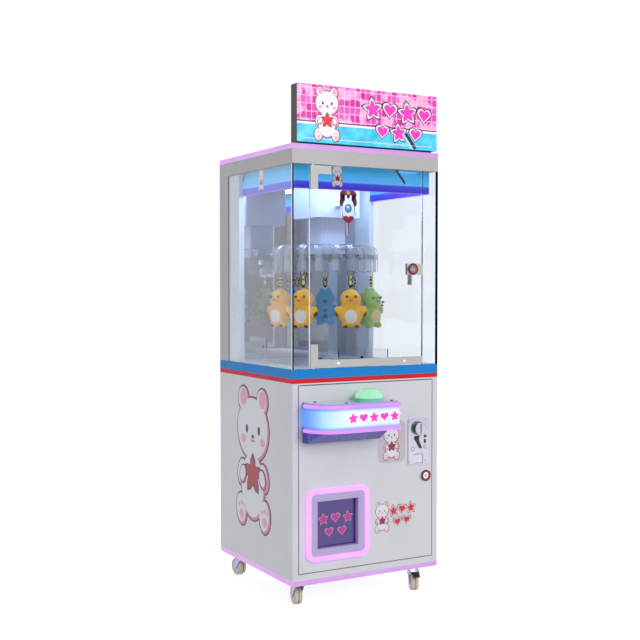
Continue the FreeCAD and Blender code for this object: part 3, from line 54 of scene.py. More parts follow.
MM = 0.001
CENTRE_Y = 48.5 * MM
CLAW_COUNT = 19
TURN_STEP = 2 * math.tau / CLAW_COUNT
DOOR_FACE_Y = CENTRE_Y - 0.234
COLUMN_FACE_Y = 8.5 * MM
LAYER = 0.25 * MM
LIT_BASE = (0.22, 0.22, 0.22)
X_AXIS, Y_AXIS, Z_AXIS = Vector((1, 0, 0)), Vector((0, 1, 0)), Vector((0, 0, 1))


# ---- materials -----------------------------------------------------------------------
class Finish:
    """A procedural material: patterns on Object coordinates that feed one Principled shader."""

    def __init__(self, name):
        self.material = bpy.data.materials.new(name)
        self.material.use_nodes = True
        self.tree = self.material.node_tree
        self.shader = self.tree.nodes["Principled BSDF"]
        self.coords = self.node("ShaderNodeTexCoord").outputs["Object"]

    def node(self, kind, **settings):
        made = self.tree.nodes.new(kind)
        for key, value in settings.items():
            setattr(made, key, value)
        return made

    def feed(self, socket, value):
        if isinstance(value, bpy.types.NodeSocket):
            self.tree.links.new(value, socket)
        elif isinstance(value, (tuple, list)) and len(value) == 3 and socket.type == "RGBA":
            socket.default_value = (*value, 1.0)
        else:
            socket.default_value = value

    def put(self, **values):
        for key, value in values.items():
            self.feed(self.shader.inputs[key.replace("_", " ")], value)
        return self

    def mapped(self, scale=(1, 1, 1), location=(0, 0, 0), rotation=(0, 0, 0)):
        made = self.node("ShaderNodeMapping")
        self.feed(made.inputs["Vector"], self.coords)
        made.inputs["Scale"].default_value = scale
        made.inputs["Location"].default_value = location
        made.inputs["Rotation"].default_value = rotation
        return made.outputs["Vector"]

    def noise(self, scale, detail=3.0, roughness=0.5, vector=None):
        made = self.node("ShaderNodeTexNoise")
        self.feed(made.inputs["Vector"], vector or self.coords)
        made.inputs["Scale"].default_value = scale
        made.inputs["Detail"].default_value = detail
        made.inputs["Roughness"].default_value = roughness
        return made.outputs["Fac"]

    def cells(self, scale):
        made = self.node("ShaderNodeTexVoronoi")
        self.feed(made.inputs["Vector"], self.coords)
        made.inputs["Scale"].default_value = scale
        return made.outputs["Distance"]

    def ramp(self, factor, *stops, steps=False):
        made = self.node("ShaderNodeValToRGB")
        made.color_ramp.interpolation = "CONSTANT" if steps else "LINEAR"
        elements = made.color_ramp.elements
        while len(elements) < len(stops):
            elements.new(0.5)
        for element, (place, colour) in zip(elements, stops):
            element.position = place
            if isinstance(colour, (int, float)):
                colour = (colour, colour, colour)
            element.color = (*colour, 1.0)
        self.feed(made.inputs["Fac"], factor)
        return made.outputs["Color"]

    def mix(self, factor, a, b, blend="MIX"):
        made = self.node("ShaderNodeMix", data_type="RGBA", blend_type=blend)
        self.feed(made.inputs[0], factor)
        self.feed(made.inputs[6], a)
        self.feed(made.inputs[7], b)
        return made.outputs[2]

    def maths(self, operation, a, b=0.0):
        made = self.node("ShaderNodeMath", operation=operation)
        self.feed(made.inputs[0], a)
        self.feed(made.inputs[1], b)
        return made.outputs[0]

    def along(self, axis):
        made = self.node("ShaderNodeSeparateXYZ")
        self.feed(made.inputs[0], self.coords)
        return made.outputs[axis]

    def between(self, axis, low, high):
        """0 at low and 1 at high along an axis of the frame."""
        made = self.node("ShaderNodeMapRange")
        self.feed(made.inputs["Value"], self.along(axis))
        made.inputs["From Min"].default_value = low
        made.inputs["From Max"].default_value = high
        return made.outputs["Result"]

    def bump(self, height, distance):
        made = self.node("ShaderNodeBump")
        self.feed(made.inputs["Height"], height)
        made.inputs["Distance"].default_value = distance
        self.feed(self.shader.inputs["Normal"], made.outputs["Normal"])
        return self

    def backlit(self, shown, strength):
        """A film over a lamp: it glows in its own colours and reflects little. The same glow on prints with
        no lamp behind them is painted light.
        """
        base = self.mix(1.0, shown, LIT_BASE, "MULTIPLY")
        return self.put(Base_Color=base, Emission_Color=shown, Emission_Strength=strength)


def shade(colour, factor):
    return tuple(min(1.0, c * factor) for c in colour)


def coat(name, colour, rough=0.38, vary=0.05, grain=900.0, depth=0.02, metal=0.0, clear=0.0):
    """Paint or moulded plastic: slow colour drift, orange peel, and patches of other gloss."""
    made = Finish(name)
    drift = made.noise(9.0, 4.0)
    made.put(Base_Color=made.ramp(drift, (0.3, shade(colour, 1 - vary)), (0.7, shade(colour, 1 + vary))),
             Roughness=made.ramp(made.noise(60.0, 5.0), (0.3, rough * 0.82), (0.7, rough * 1.18)),
             Metallic=metal, Coat_Weight=clear, Coat_Roughness=0.08)
    return made.bump(made.noise(grain, 2.0), depth * MM)


def brushed(name, colour, rough=0.3, axis=2, fine=900.0):
    """Metal with fine lines along one axis."""
    made = Finish(name)
    scale = [fine, fine, fine]
    scale[axis] = fine * 0.02
    lines = made.noise(1.0, 3.0, 0.6, made.mapped(tuple(scale)))
    made.put(Base_Color=made.ramp(lines, (0.3, shade(colour, 0.8)), (0.7, shade(colour, 1.1))),
             Roughness=made.ramp(lines, (0.3, rough * 0.75), (0.7, rough * 1.3)), Metallic=1.0)
    return made.bump(lines, 0.01 * MM)


def glowing(name, colour, strength, base=None):
    """A lit diffuser, a little uneven over the lamps behind it; also used for the painted highlight on pane
    and claw edges, where there is no lamp.
    """
    made = Finish(name)
    soft = made.ramp(made.noise(14.0, 2.0), (0.3, shade(colour, 0.86)), (0.7, colour))
    made.put(Base_Color=base or shade(colour, 0.25), Roughness=made.ramp(made.noise(80.0), (0.3, 0.3),
                                                                         (0.7, 0.42)),
             Emission_Color=soft, Emission_Strength=strength)
    return made


def clear(name, tint, rough=0.02, ior=1.45, passing=1.0):
    made = Finish(name)
    smears = made.noise(22.0, 5.0, 0.65)
    made.put(Base_Color=made.ramp(smears, (0.3, shade(tint, 0.985)), (0.7, tint)),
             Roughness=made.ramp(smears, (0.45, rough), (0.75, rough + 0.03)),
             IOR=ior, Transmission_Weight=passing)
    return made


def plush(name, colour, tip=None):
    """Short pile: tufts of two shades, a nap that catches the light, fine bump."""
    made = Finish(name)
    pile = made.noise(950.0, 4.0, 0.7)
    nap = made.noise(55.0, 3.0)
    dark = made.ramp(nap, (0.3, shade(colour, 0.78)), (0.7, colour))
    made.put(Base_Color=made.mix(made.ramp(pile, (0.42, 0.0), (0.62, 1.0)), dark,
                                 tip or shade(colour, 1.18)),
             Roughness=made.ramp(nap, (0.3, 0.85), (0.7, 0.97)), Sheen_Weight=0.6, Sheen_Roughness=0.4)
    return made.bump(pile, 0.5 * MM)


PRINT_COLOURS = {
    "ink": (0.05, 0.02, 0.05), "white": (0.86, 0.86, 0.9), "pink": (0.86, 0.2, 0.36),
    "blush": (0.9, 0.42, 0.55),
    "red": (0.42, 0.006, 0.02), "scarlet": (0.8, 0.02, 0.03), "black": (0.01, 0.01, 0.015),
    "rose_grey": (0.62, 0.57, 0.62), "magenta": (0.9, 0.03, 0.55), "cyan": (0.05, 0.62, 0.9),
    "navy": (0.03, 0.03, 0.16), "sunny": (0.95, 0.6, 0.05), "maroon": (0.16, 0.01, 0.015),
}


def ink(name, lit=0.0, cast=(1, 1, 1)):
    """Printed film: a fine dot screen over the colour, glowing where a lamp is behind it; on the pointer and
    the prize flap the glow is painted light, with no lamp behind.
    """
    colour = tuple(c * k for c, k in zip(PRINT_COLOURS[name], cast))
    made = Finish("print_" + name + ("_lit" if lit else ""))
    dots = made.cells(2600.0)
    shown = made.ramp(dots, (0.2, colour), (0.8, shade(colour, 0.86)))
    made.put(Base_Color=shown, Roughness=made.ramp(made.noise(90.0), (0.3, 0.3), (0.7, 0.42)))
    if lit:
        made.backlit(shown, lit)
    return made.bump(dots, 0.01 * MM)


prints = {}


def printed(name, lit=0.0):
    key = (name, lit)
    if key not in prints:
        prints[key] = ink(name, lit)
    return prints[key]


def belt_finish():
    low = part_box("belt_band")[0]
    split = low.z + 12.0 * MM
    made = Finish("belt_film")
    sparkle = made.ramp(made.cells(700.0), (0.0, (0.02, 0.36, 0.8)), (0.12, (0.001, 0.2, 0.58)),
                        (1.0, (0.001, 0.27, 0.72)))
    red = made.ramp(made.noise(12.0), (0.3, (0.62, 0.008, 0.015)), (0.7, (0.76, 0.012, 0.025)))
    upper = made.maths("GREATER_THAN", made.along(2), split)
    made.put(Base_Color=made.mix(upper, red, sparkle), Roughness=made.ramp(made.noise(70.0), (0.3, 0.4),
                                                                           (0.7, 0.5)),
             Specular_IOR_Level=0.2)
    return made.bump(made.noise(700.0), 0.02 * MM)


def pelmet_finish():
    low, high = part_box("pelmet")
    made = Finish("pelmet_film")
    level = made.between(2, low.z, high.z)
    grains = made.ramp(made.cells(900.0), (0.0, (0.7, 0.95, 1.0)), (0.25, (0.08, 0.42, 0.9)),
                       (1.0, (0.03, 0.34, 0.85)))
    bands = made.ramp(level, (0.0, (0.45, 0.1, 0.85)), (0.05, (0.02, 0.03, 0.6)), (0.3, (0.06, 0.06, 0.75)),
                      (0.36, (0.12, 0.55, 0.98)), (0.72, (0.02, 0.36, 0.66)), (0.86, (0.0, 0.22, 0.32)),
                      (1.0, (0.0, 0.16, 0.2)))
    upper = made.ramp(level, (0.33, 0.0), (0.37, 0.55), (1.0, 0.35))
    shown = made.mix(upper, bands, grains)
    made.put(Roughness=made.ramp(made.noise(60.0), (0.3, 0.28), (0.7, 0.4)))
    return made.backlit(shown, 0.8)


def sign_finish():
    """Pink tiles over a cyan foot, with a white and a dark line between."""
    low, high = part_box("sign_face")
    made = Finish("sign_film")
    level = made.between(2, low.z, high.z)
    flat = made.mapped(rotation=(math.radians(-90), 0, 0), location=(0.013, 0.0, 0.0))
    tiles = made.node("ShaderNodeTexBrick", offset=0.0, squash=1.0)
    made.feed(tiles.inputs["Vector"], flat)
    for key, value in (("Scale", 1.0), ("Mortar Size", 0.0011), ("Brick Width", 0.0165),
                       ("Row Height", 0.0205),
                       ("Bias", -0.1), ("Mortar Smooth", 0.2)):
        tiles.inputs[key].default_value = value
    made.feed(tiles.inputs["Color1"], (0.68, 0.0, 0.34))
    made.feed(tiles.inputs["Color2"], (0.88, 0.12, 0.6))
    made.feed(tiles.inputs["Mortar"], (1.0, 0.55, 0.86))
    patch = made.ramp(made.noise(26.0, 1.0), (0.5, 0.0), (0.58, 0.55))
    pink = made.mix(patch, tiles.outputs["Color"], (1.0, 0.7, 0.9))
    cyan = made.ramp(made.noise(30.0, 2.0), (0.35, (0.02, 0.5, 0.85)), (0.65, (0.12, 0.75, 0.95)))
    lines = made.ramp(level, (0.0, (0.02, 0.5, 0.85)), (0.31, (1.0, 1.0, 1.0)), (0.345, (0.1, 0.0, 0.12)),
                      (0.365, (1, 1, 1)), steps=True)
    is_line = made.ramp(level, (0.0, 0.0), (0.31, 1.0), (0.365, 0.0), steps=True)
    is_pink = made.ramp(level, (0.0, 0.0), (0.36, 1.0), steps=True)
    shown = made.mix(is_line, made.mix(is_pink, cyan, pink), lines)
    made.put(Roughness=made.ramp(made.noise(60.0), (0.3, 0.3), (0.7, 0.4)))
    return made.backlit(shown, 0.85)


def console_finish():
    low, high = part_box("console_face")
    made = Finish("console_diffuser")
    level = made.between(2, low.z, high.z)
    across = made.between(0, low.x, high.x)
    ends = made.ramp(across, (0.0, (0.05, 0.25, 0.9)), (0.1, (0.35, 0.72, 1.0)), (0.3, (0.78, 0.9, 1.0)),
                     (1.0, (0.8, 0.72, 0.98)))
    edges = made.ramp(level, (0.0, (0.1, 0.35, 0.9)), (0.16, (1, 1, 1)), (0.84, (1, 1, 1)),
                      (1.0, (0.1, 0.3, 0.85)))
    clouds = made.ramp(made.noise(18.0, 2.0), (0.3, 0.88), (0.7, 1.0))
    shown = made.mix(1.0, made.mix(1.0, ends, edges, "MULTIPLY"), clouds, "MULTIPLY")
    made.put(Base_Color=(0.15, 0.2, 0.24), Roughness=made.ramp(made.noise(80.0), (0.3, 0.25), (0.7, 0.35)),
             Emission_Color=shown, Emission_Strength=0.92)
    return made


looks = {
    "cabinet_white": coat("cabinet_white", (0.7, 0.69, 0.72), 0.36, 0.03, 800.0, 0.03, clear=0.15),
    "fascia_grey": coat("fascia_grey", (0.5, 0.475, 0.465), 0.4, 0.04, 700.0, 0.02),
    "post_grey": coat("post_grey", (0.46, 0.46, 0.49), 0.38, 0.04, 700.0, 0.02),
    "panel_white": coat("panel_white", (0.74, 0.78, 0.85), 0.42, 0.03, 700.0, 0.02),
    "box_white": coat("box_white", (0.6, 0.62, 0.76), 0.34, 0.03, 700.0, 0.02),
    "strip_pink": glowing("strip_pink", (0.66, 0.34, 0.78), 0.85),
    "tube_pink": glowing("tube_pink", (0.58, 0.24, 0.95), 1.15),
    "ring_pink": glowing("ring_pink", (0.62, 0.3, 0.86), 1.5),
    "belt": belt_finish(),
    "pelmet": pelmet_finish(),
    "sign": sign_finish(),
    "sign_black": coat("sign_black", (0.012, 0.012, 0.014), 0.4, 0.2, 600.0, 0.03),
    "glass": clear("pane_glass", (0.93, 0.95, 0.965), 0.0, 1.42),
    "acrylic": clear("clear_acrylic", (0.95, 0.965, 0.99), 0.03, 1.46),
    "claw": clear("claw_acrylic", (0.93, 0.95, 1.0), 0.1, 1.36, 0.85),
    # Painted highlight: a faint glow on the pane and claw edges that stands in for light gathered in the
    # polished edges; no lamp is there.
    "edge_highlight": glowing("painted_edge_highlight", (0.68, 0.78, 1.0), 0.42, base=(0.4, 0.45, 0.55)),
    "mirror": coat("mirror_film", (0.8, 0.83, 0.87), 0.03, 0.02, 30.0, 0.0, metal=1.0),
    "deck": coat("deck_board", (0.72, 0.76, 0.82), 0.3, 0.03, 500.0, 0.02),
    "duct": coat("duct_grey", (0.5, 0.5, 0.53), 0.45, 0.05),
    "steel": brushed("zinc_steel", (0.6, 0.6, 0.64), 0.32),
    "fork": brushed("fork_steel", (0.42, 0.41, 0.6), 0.3),
    "chrome": brushed("chrome_plate", (0.82, 0.82, 0.85), 0.09, 2, 300.0),
    "pointer": coat("pointer_white", (0.85, 0.85, 0.88), 0.25, 0.02),
    "console_body": coat("console_violet", (0.05, 0.035, 0.4), 0.3, 0.1, 500.0, 0.02, clear=0.4),
    "console": console_finish(),
    "console_clear": coat("console_top_film", (0.34, 0.5, 0.62), 0.12, 0.06, 300.0, 0.01, clear=0.8),
    "collar": coat("button_collar_green", (0.15, 0.6, 0.45), 0.15, 0.05, 300.0, 0.01, clear=0.8),
    "dome": glowing("button_green", (0.4, 0.88, 0.58), 0.8),
    "coin_plate": brushed("coin_steel", (0.56, 0.54, 0.62), 0.26),
    "black": coat("black_plastic", (0.015, 0.015, 0.018), 0.42, 0.25, 500.0, 0.03),
    "cash": coat("cash_grey", (0.4, 0.41, 0.44), 0.45, 0.05),
    "bezel": coat("bezel_grey", (0.5, 0.42, 0.66), 0.4, 0.03),
    "flap": coat("flap_violet", (0.05, 0.02, 0.22), 0.22, 0.12, 300.0, 0.01, clear=0.5),
    "tread": coat("wheel_tread", (0.72, 0.6, 0.46), 0.55, 0.1, 500.0, 0.05),
    "rail": coat("rail_cream", (0.55, 0.54, 0.51), 0.36, 0.03, 700.0, 0.02),
}

node_looks = {
    "cabinet_shell": "cabinet_white", "door_panel": "cabinet_white", "light_strips": "strip_pink",
    "belt_band": "belt", "fascia": "fascia_grey", "pivot_pins": "steel", "rear_frame": "post_grey",
    "post_panels": "panel_white", "fixed_glass": "glass", "mirror": "mirror", "pelmet": "pelmet",
    "sign_box": "sign_black", "sign_face": "sign", "deck": "deck", "deck_guard": "acrylic",
    "prize_duct": "duct", "motor_housing": "box_white", "drive_units": "steel", "striker_rod": "chrome",
    "pointer": "pointer", "carousel_disc": "acrylic", "claw_bodies": "claw", "claw_jaws": "claw",
    "front_jaw": "claw", "claw_pins": "steel", "key_rings": "chrome", "toy_chicks": "duct",
    "toy_bears": "duct", "door_brackets": "steel", "console_shell": "console_body",
    "console_face": "console", "console_tubes": "tube_pink", "console_top": "console_clear",
    "button_housing": "collar", "button_dome": "dome", "coin_plate": "coin_plate",
    "coin_lever": "black", "coin_flap": "steel", "coin_unit": "black", "cash_box": "cash",
    "prize_ring": "ring_pink", "prize_bezel": "bezel", "prize_flap": "flap",
    "door_lock_barrel": "chrome", "door_lock_cam": "steel", "glass_lock_barrel": "chrome",
    "glass_lock_cam": "steel", "glass_pane": "glass", "glass_fittings": "rail",
    "caster_plates": "steel",
}
for corner in ("fl", "fr", "bl", "br"):
    node_looks["caster_fork_" + corner] = "fork"
    node_looks["caster_wheel_" + corner] = "tread"
for corner in ("fl", "fr"):
    node_looks["brake_pedal_" + corner] = "black"
for name, look in node_looks.items():
    mesh = nodes[name].data
    mesh.materials.clear()
    mesh.materials.append(looks[look].material)


# ---- pieces --------------------------------------------------------------------------
def meshed(form, name):
    """Hands a bmesh over as a mesh and frees it."""
    mesh = bpy.data.meshes.new(name)
    form.to_mesh(mesh)
    form.free()
    return mesh


def fresh_object(name, mesh):
    made = bpy.data.objects.new(name, mesh)
    bpy.context.scene.collection.objects.link(made)
    return made


class Piece:
    """One new mesh, put together by bmesh operators; each part gets its finish as it is made."""

    def __init__(self, name, body, slot):
        self.name, self.body, self.slot = name, body, slot
        self.bm = bmesh.new()
        self.finishes = []

    def painted(self, finish, smooth=True):
        """Gives every face made since the last call this finish."""
        if finish not in self.finishes:
            self.finishes.append(finish)
        index = self.finishes.index(finish)
        for face in self.bm.faces:
            if not face.tag:
                face.material_index = index
                face.smooth = smooth
                face.tag = True

    def ball(self, centre, radii, finish, turn=None, rings=12):
        matrix = Matrix.Translation(centre) @ (turn or Matrix.Identity(4)) @ Matrix.Diagonal((*radii, 1))
        bmesh.ops.create_uvsphere(self.bm, u_segments=rings * 2, v_segments=rings, radius=1.0, matrix=matrix)
        self.painted(finish)

    def cone(self, start, end, r0, r1, finish, segments=24, smooth=True):
        along = end - start
        turn = along.to_track_quat("Z", "Y").to_matrix().to_4x4()
        matrix = Matrix.Translation((start + end) / 2) @ turn
        bmesh.ops.create_cone(self.bm, cap_ends=True, segments=segments, radius1=r0, radius2=r1,
                              depth=along.length, matrix=matrix)
        self.painted(finish, smooth)

    def block(self, low, high, finish, bevel=0.0, turn=None):
        size = high - low
        placed = Matrix.Translation((low + high) / 2) @ (turn or Matrix.Identity(4))
        matrix = placed @ Matrix.Diagonal((*size, 1))
        made = bmesh.ops.create_cube(self.bm, size=1.0, matrix=matrix)
        if bevel:
            edges = list({e for v in made["verts"] for e in v.link_edges})
            bmesh.ops.bevel(self.bm, geom=edges, offset=bevel, affect="EDGES", segments=2, profile=0.5,
                            material=-1)
        self.painted(finish, False)

    def loop(self, centre, across, up, radius, wire, finish, squash=1.0, steps=32, sides=8):
        """A closed round wire in the plane of across and up."""
        out = across.cross(up)
        start = centre + across * radius
        matrix = Matrix.Translation(start) @ Matrix((across, out, up)).transposed().to_4x4()
        made = bmesh.ops.create_circle(self.bm, cap_ends=False, radius=wire, segments=sides,
                                       matrix=matrix @ Matrix.Rotation(math.radians(90), 4, "X"))
        edges = list({e for v in made["verts"] for e in v.link_edges})
        bmesh.ops.spin(self.bm, geom=made["verts"] + edges, cent=centre, axis=out, angle=math.tau,
                       steps=steps, use_merge=False, use_duplicate=False)
        ring = {v for f in self.bm.faces if not f.tag for v in f.verts}
        bmesh.ops.remove_doubles(self.bm, verts=list(ring), dist=0.02 * MM)
        if squash != 1.0:
            ring = {v for f in self.bm.faces if not f.tag for v in f.verts}
            for vert in ring:
                vert.co += up * ((vert.co - centre).dot(up) * (squash - 1))
        self.painted(finish)

    def turned(self, profile, centre, axis, finish, steps=32, smooth=True):
        """A turned part: (radius, height) pairs in millimetres, spun about an axis through centre."""
        side = axis.orthogonal().normalized()
        verts = [self.bm.verts.new(centre + side * (r * MM) + axis * (h * MM)) for r, h in profile]
        edges = [self.bm.edges.new(pair) for pair in zip(verts, verts[1:])]
        bmesh.ops.spin(self.bm, geom=verts + edges, cent=centre, axis=axis, angle=math.tau, steps=steps)
        ring = {v for f in self.bm.faces if not f.tag for v in f.verts}
        bmesh.ops.remove_doubles(self.bm, verts=list(ring), dist=0.01 * MM)
        self.painted(finish, smooth)

    def done(self):
        bmesh.ops.recalc_face_normals(self.bm, faces=self.bm.faces)
        mesh = meshed(self.bm, self.name)
        for finish in self.finishes:
            mesh.materials.append(finish.material)
        made = fresh_object(self.name, mesh)
        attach(made, self.body)
        return made


# ---- flat printed shapes -------------------------------------------------------------
def oval(a):
    return math.cos(a), math.sin(a)


def star(a):
    reach = 0.5 + 0.5 * abs(((a / math.tau * 5 - 0.25) % 1.0) * 2 - 1)
    return reach * math.cos(a), reach * math.sin(a)


def heart(a):
    x = math.sin(a) ** 3
    y = (13 * math.cos(a) - 5 * math.cos(2 * a) - 2 * math.cos(3 * a) - math.cos(4 * a)) / 16
    return x, y + 0.1


def card(a):
    c, s = math.cos(a), math.sin(a)
    reach = (abs(c) ** 8 + abs(s) ** 8) ** (-1 / 8)
    return c * reach, s * reach


OUTLINES = {"oval": (oval, 36), "star": (star, 20), "heart": (heart, 40), "card": (card, 40)}


def lay(piece, plane, shapes):
    """Lays shapes on a plane, each a thin plate that stands a little prouder than the one before."""
    origin, across, up, out = plane
    for kind, u, v, half_u, half_v, turn, finish, level in shapes:
        outline, segments = OUTLINES[kind]
        made = bmesh.ops.create_circle(piece.bm, cap_ends=True, radius=1.0, segments=segments)
        c, s = math.cos(turn), math.sin(turn)
        for index, vert in enumerate(made["verts"]):
            x, y = outline(index / segments * math.tau)
            x, y = x * half_u, y * half_v
            vert.co = origin + across * (u + x * c - y * s) + up * (v + x * s + y * c)
        faces = list({f for vert in made["verts"] for f in vert.link_faces})
        grown = bmesh.ops.extrude_face_region(piece.bm, geom=faces)
        for item in grown["geom"]:
            if isinstance(item, bmesh.types.BMVert):
                item.co += out * LAYER * level
        piece.painted(finish, False)


def cub(u, v, tall, lit=0.0, pale="white", star_ink="red"):
    """A small bear cub that holds a star, tall high and centred on (u, v)."""
    dark, white = printed("ink", lit), printed(pale, lit)
    pink, blush, red, black = (printed(n, lit) for n in ("pink", "blush", star_ink, "black"))
    rim = 0.011
    shapes = []

    def add(kind, x, y, rx, ry, turn, finish, level):
        shapes.append((kind, u + x * tall, v + y * tall, rx * tall, ry * tall, turn, finish, level))

    parts = [(0.15, 0.405, 0.085, 0.09, 0.0), (0.0, 0.2, 0.25, 0.225, 0.0), (0.0, -0.2, 0.185, 0.235, 0.0),
             (0.185, -0.385, 0.085, 0.115, -0.12), (0.175, -0.12, 0.07, 0.1, 0.3)]
    for part, (x, y, rx, ry, turn) in enumerate(parts):
        lift = part * 0.12
        for side in ((-1, 1) if x else (1,)):
            add("oval", x * side, y, rx + rim, ry + rim, turn * side, dark, 1 + lift)
            add("oval", x * side, y, rx, ry, turn * side, pink, 2 + lift)
            add("oval", x * side - rim * 0.9, y + rim * 0.6, rx - rim, ry - rim, turn * side, white,
                3 + lift)
    for side in (-1, 1):
        add("oval", 0.15 * side, 0.42, 0.052, 0.06, 0.0, blush, 4)
        add("oval", 0.095 * side, 0.2, 0.019, 0.031, 0.0, black, 4)
        add("oval", 0.15 * side, 0.125, 0.036, 0.03, 0.0, blush, 4)
        add("oval", 0.016 * side, 0.122, 0.015, 0.006, 0.5 * side, black, 4)
        add("oval", 0.185 * side, -0.42, 0.034, 0.034, 0.0, blush, 4)
        for toe in (-1, 0, 1):
            add("oval", 0.185 * side + toe * 0.04, -0.355 + 0.012 * (1 - abs(toe)), 0.014, 0.017, 0.0,
                blush, 4)
    add("oval", 0.0, 0.152, 0.02, 0.014, 0.0, black, 4)
    add("star", 0.0, -0.115, 0.155, 0.155, 0.0, dark, 5)
    add("star", 0.0, -0.115, 0.14, 0.14, 0.0, red, 6)
    for side in (-1, 1):
        add("oval", 0.155 * side, -0.13, 0.056, 0.074, 0.4 * side, dark, 7)
        add("oval", 0.155 * side, -0.13, 0.047, 0.065, 0.4 * side, pink, 8)
        add("oval", 0.155 * side - 0.006, -0.124, 0.04, 0.058, 0.4 * side, white, 9)
    return shapes


def outlined(kind, u, v, half, turn, core, lit=0.0, rims=(("ink", 1.0), ("white", 0.86)), stretch=1.0):
    """A shape with one outline inside another and a coloured core."""
    shapes = []
    for level, (name, share) in enumerate(rims + ((core, 0.68),)):
        shapes.append((kind, u, v, half * share * stretch, half * share, turn, printed(name, lit),
                       level + 1))
    return shapes


def front_plane(y, x=0.0, z=0.0):
    return Vector((x, y, z)), X_AXIS, Z_AXIS, -Y_AXIS


def left_plane(x, y=0.0, z=0.0):
    return Vector((x, y, z)), -Y_AXIS, Z_AXIS, -X_AXIS


def right_plane(x, y=0.0, z=0.0):
    return Vector((x, y, z)), Y_AXIS, Z_AXIS, X_AXIS


def middle(node):
    low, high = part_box(node)
    return (low + high) / 2


# ---- graphics ------------------------------------------------------------------------
def sign_art():
    low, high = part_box("sign_face")
    piece = Piece("sign_graphics", "cabinet", "sign_print")
    wide, tall = high.x - low.x, high.z - low.z
    plane = front_plane(low.y, low.x, low.z)
    white, dark = printed("white", 0.8), printed("ink", 0.0)
    shapes = [
        ("card", wide * 0.5, 10 * MM, wide * 0.46, 1.0 * MM, 0.0, white, 1),
        ("card", 9 * MM, 14 * MM, 7 * MM, 0.9 * MM, -0.75, white, 1),
        ("card", wide * 0.8, 22 * MM, 26 * MM, 5.0 * MM, -0.9, dark, 1),
        ("card", wide * 0.775, 22 * MM, 26 * MM, 1.2 * MM, -0.9, white, 2),
    ]
    shapes += cub(wide * 0.2, tall * 0.5, tall * 0.94, 0.9, "white", "scarlet")
    spots = [("heart", 0.645, 0.66, 27), ("heart", 0.9, 0.62, 26), ("star", 0.52, 0.66, 37),
             ("star", 0.775, 0.64, 37),
             ("heart", 0.59, 0.27, 24), ("heart", 0.835, 0.26, 24), ("star", 0.71, 0.27, 32)]
    for kind, share, rise, half in spots:
        shapes += outlined(kind, wide * share, tall * rise, half * MM, 0.12 if kind == "star" else -0.08,
                           "magenta", 0.9)
    lay(piece, plane, shapes)
    return piece.done()


def wall_art():
    low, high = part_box("cabinet_shell")
    piece = Piece("side_wall_graphics", "cabinet", "cabinet_paint")
    lay(piece, left_plane(low.x, CENTRE_Y + 6 * MM, 0.377), cub(0.0, 0.0, 0.4))
    lay(piece, right_plane(high.x, CENTRE_Y + 6 * MM, 0.377), cub(0.0, 0.0, 0.4))
    return piece.done()


def pelmet_art():
    low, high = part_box("pelmet")
    piece = Piece("pelmet_graphics", "cabinet", "pelmet_print")
    tall = high.z - low.z
    mid = (low.z + high.z) / 2
    dark = printed("ink", 0.0)
    shapes = cub(-0.086, 0.006, tall * 0.95, 0.5)
    shapes += [("card", 0.115, 0.014, 24 * MM, 3.5 * MM, -0.9, dark, 1)]
    lay(piece, front_plane(low.y, 0.0, mid), shapes)
    shapes = cub(0.02, 0.006, tall * 0.95, 0.5) + [("card", -0.1, 0.012, 24 * MM, 3.5 * MM, 0.9, dark, 1)]
    lay(piece, left_plane(low.x, CENTRE_Y, mid), shapes)
    return piece.done()


def console_art():
    low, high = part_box("console_face")
    piece = Piece("console_graphics", "service_door", "console_light")
    start = low.x + (high.x - low.x) * 0.42
    rise = (low.z + high.z) / 2
    shapes = []
    for index, kind in enumerate(("star", "heart", "star", "heart", "star")):
        half = 21 if kind == "star" else 18
        shapes += outlined(kind, start + index * 32 * MM, rise, half * MM, 0.06, "magenta", 1.0,
                           (("white", 1.0),))
    lay(piece, front_plane(low.y), shapes)
    return piece.done()


def door_art():
    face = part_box("door_panel")[0].y
    piece = Piece("door_stickers", "service_door", "cabinet_paint")
    grey = printed("rose_grey")
    shapes = [("card", 77.5 * MM, 431.5 * MM, 44.5 * MM, 57.5 * MM, 0.0, grey, 1)]
    shapes += [(k, u, v, a, b, t, f, n + 1) for k, u, v, a, b, t, f, n in cub(77 * MM, 430 * MM, 98 * MM)]
    shapes += cub(47 * MM, 226 * MM, 84 * MM)
    for kind, x, z, half, turn in (("star", 84, 240, 19, 0.15), ("heart", 112, 243, 16, -0.1),
                                   ("star", 141, 244, 19, 0.1),
                                   ("heart", 97, 209, 15, 0.1), ("heart", 127, 212, 15, -0.12)):
        shapes += outlined(kind, x * MM, z * MM, half * MM, turn, "scarlet")
    lay(piece, front_plane(face), shapes)
    return piece.done()


def flap_art():
    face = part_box("prize_flap")[0].y
    mid = middle("prize_flap")
    piece = Piece("flap_graphics", "prize_flap", "flap_violet")
    shapes = []
    for kind, x, z, half in (("star", -38, 12, 19), ("heart", 0, 13, 17), ("star", 38, 12, 19),
                             ("heart", -20, -24, 16),
                             ("heart", 20, -24, 16)):
        # The stars and hearts glow at 0.35 with no lamp behind the flap: painted light on the print.
        shapes += outlined(kind, mid.x + x * MM, mid.z + z * MM, half * MM, 0.08, "magenta", 0.35,
                           (("navy", 1.0), ("blush", 0.9)))
    lay(piece, front_plane(face), shapes)
    return piece.done()


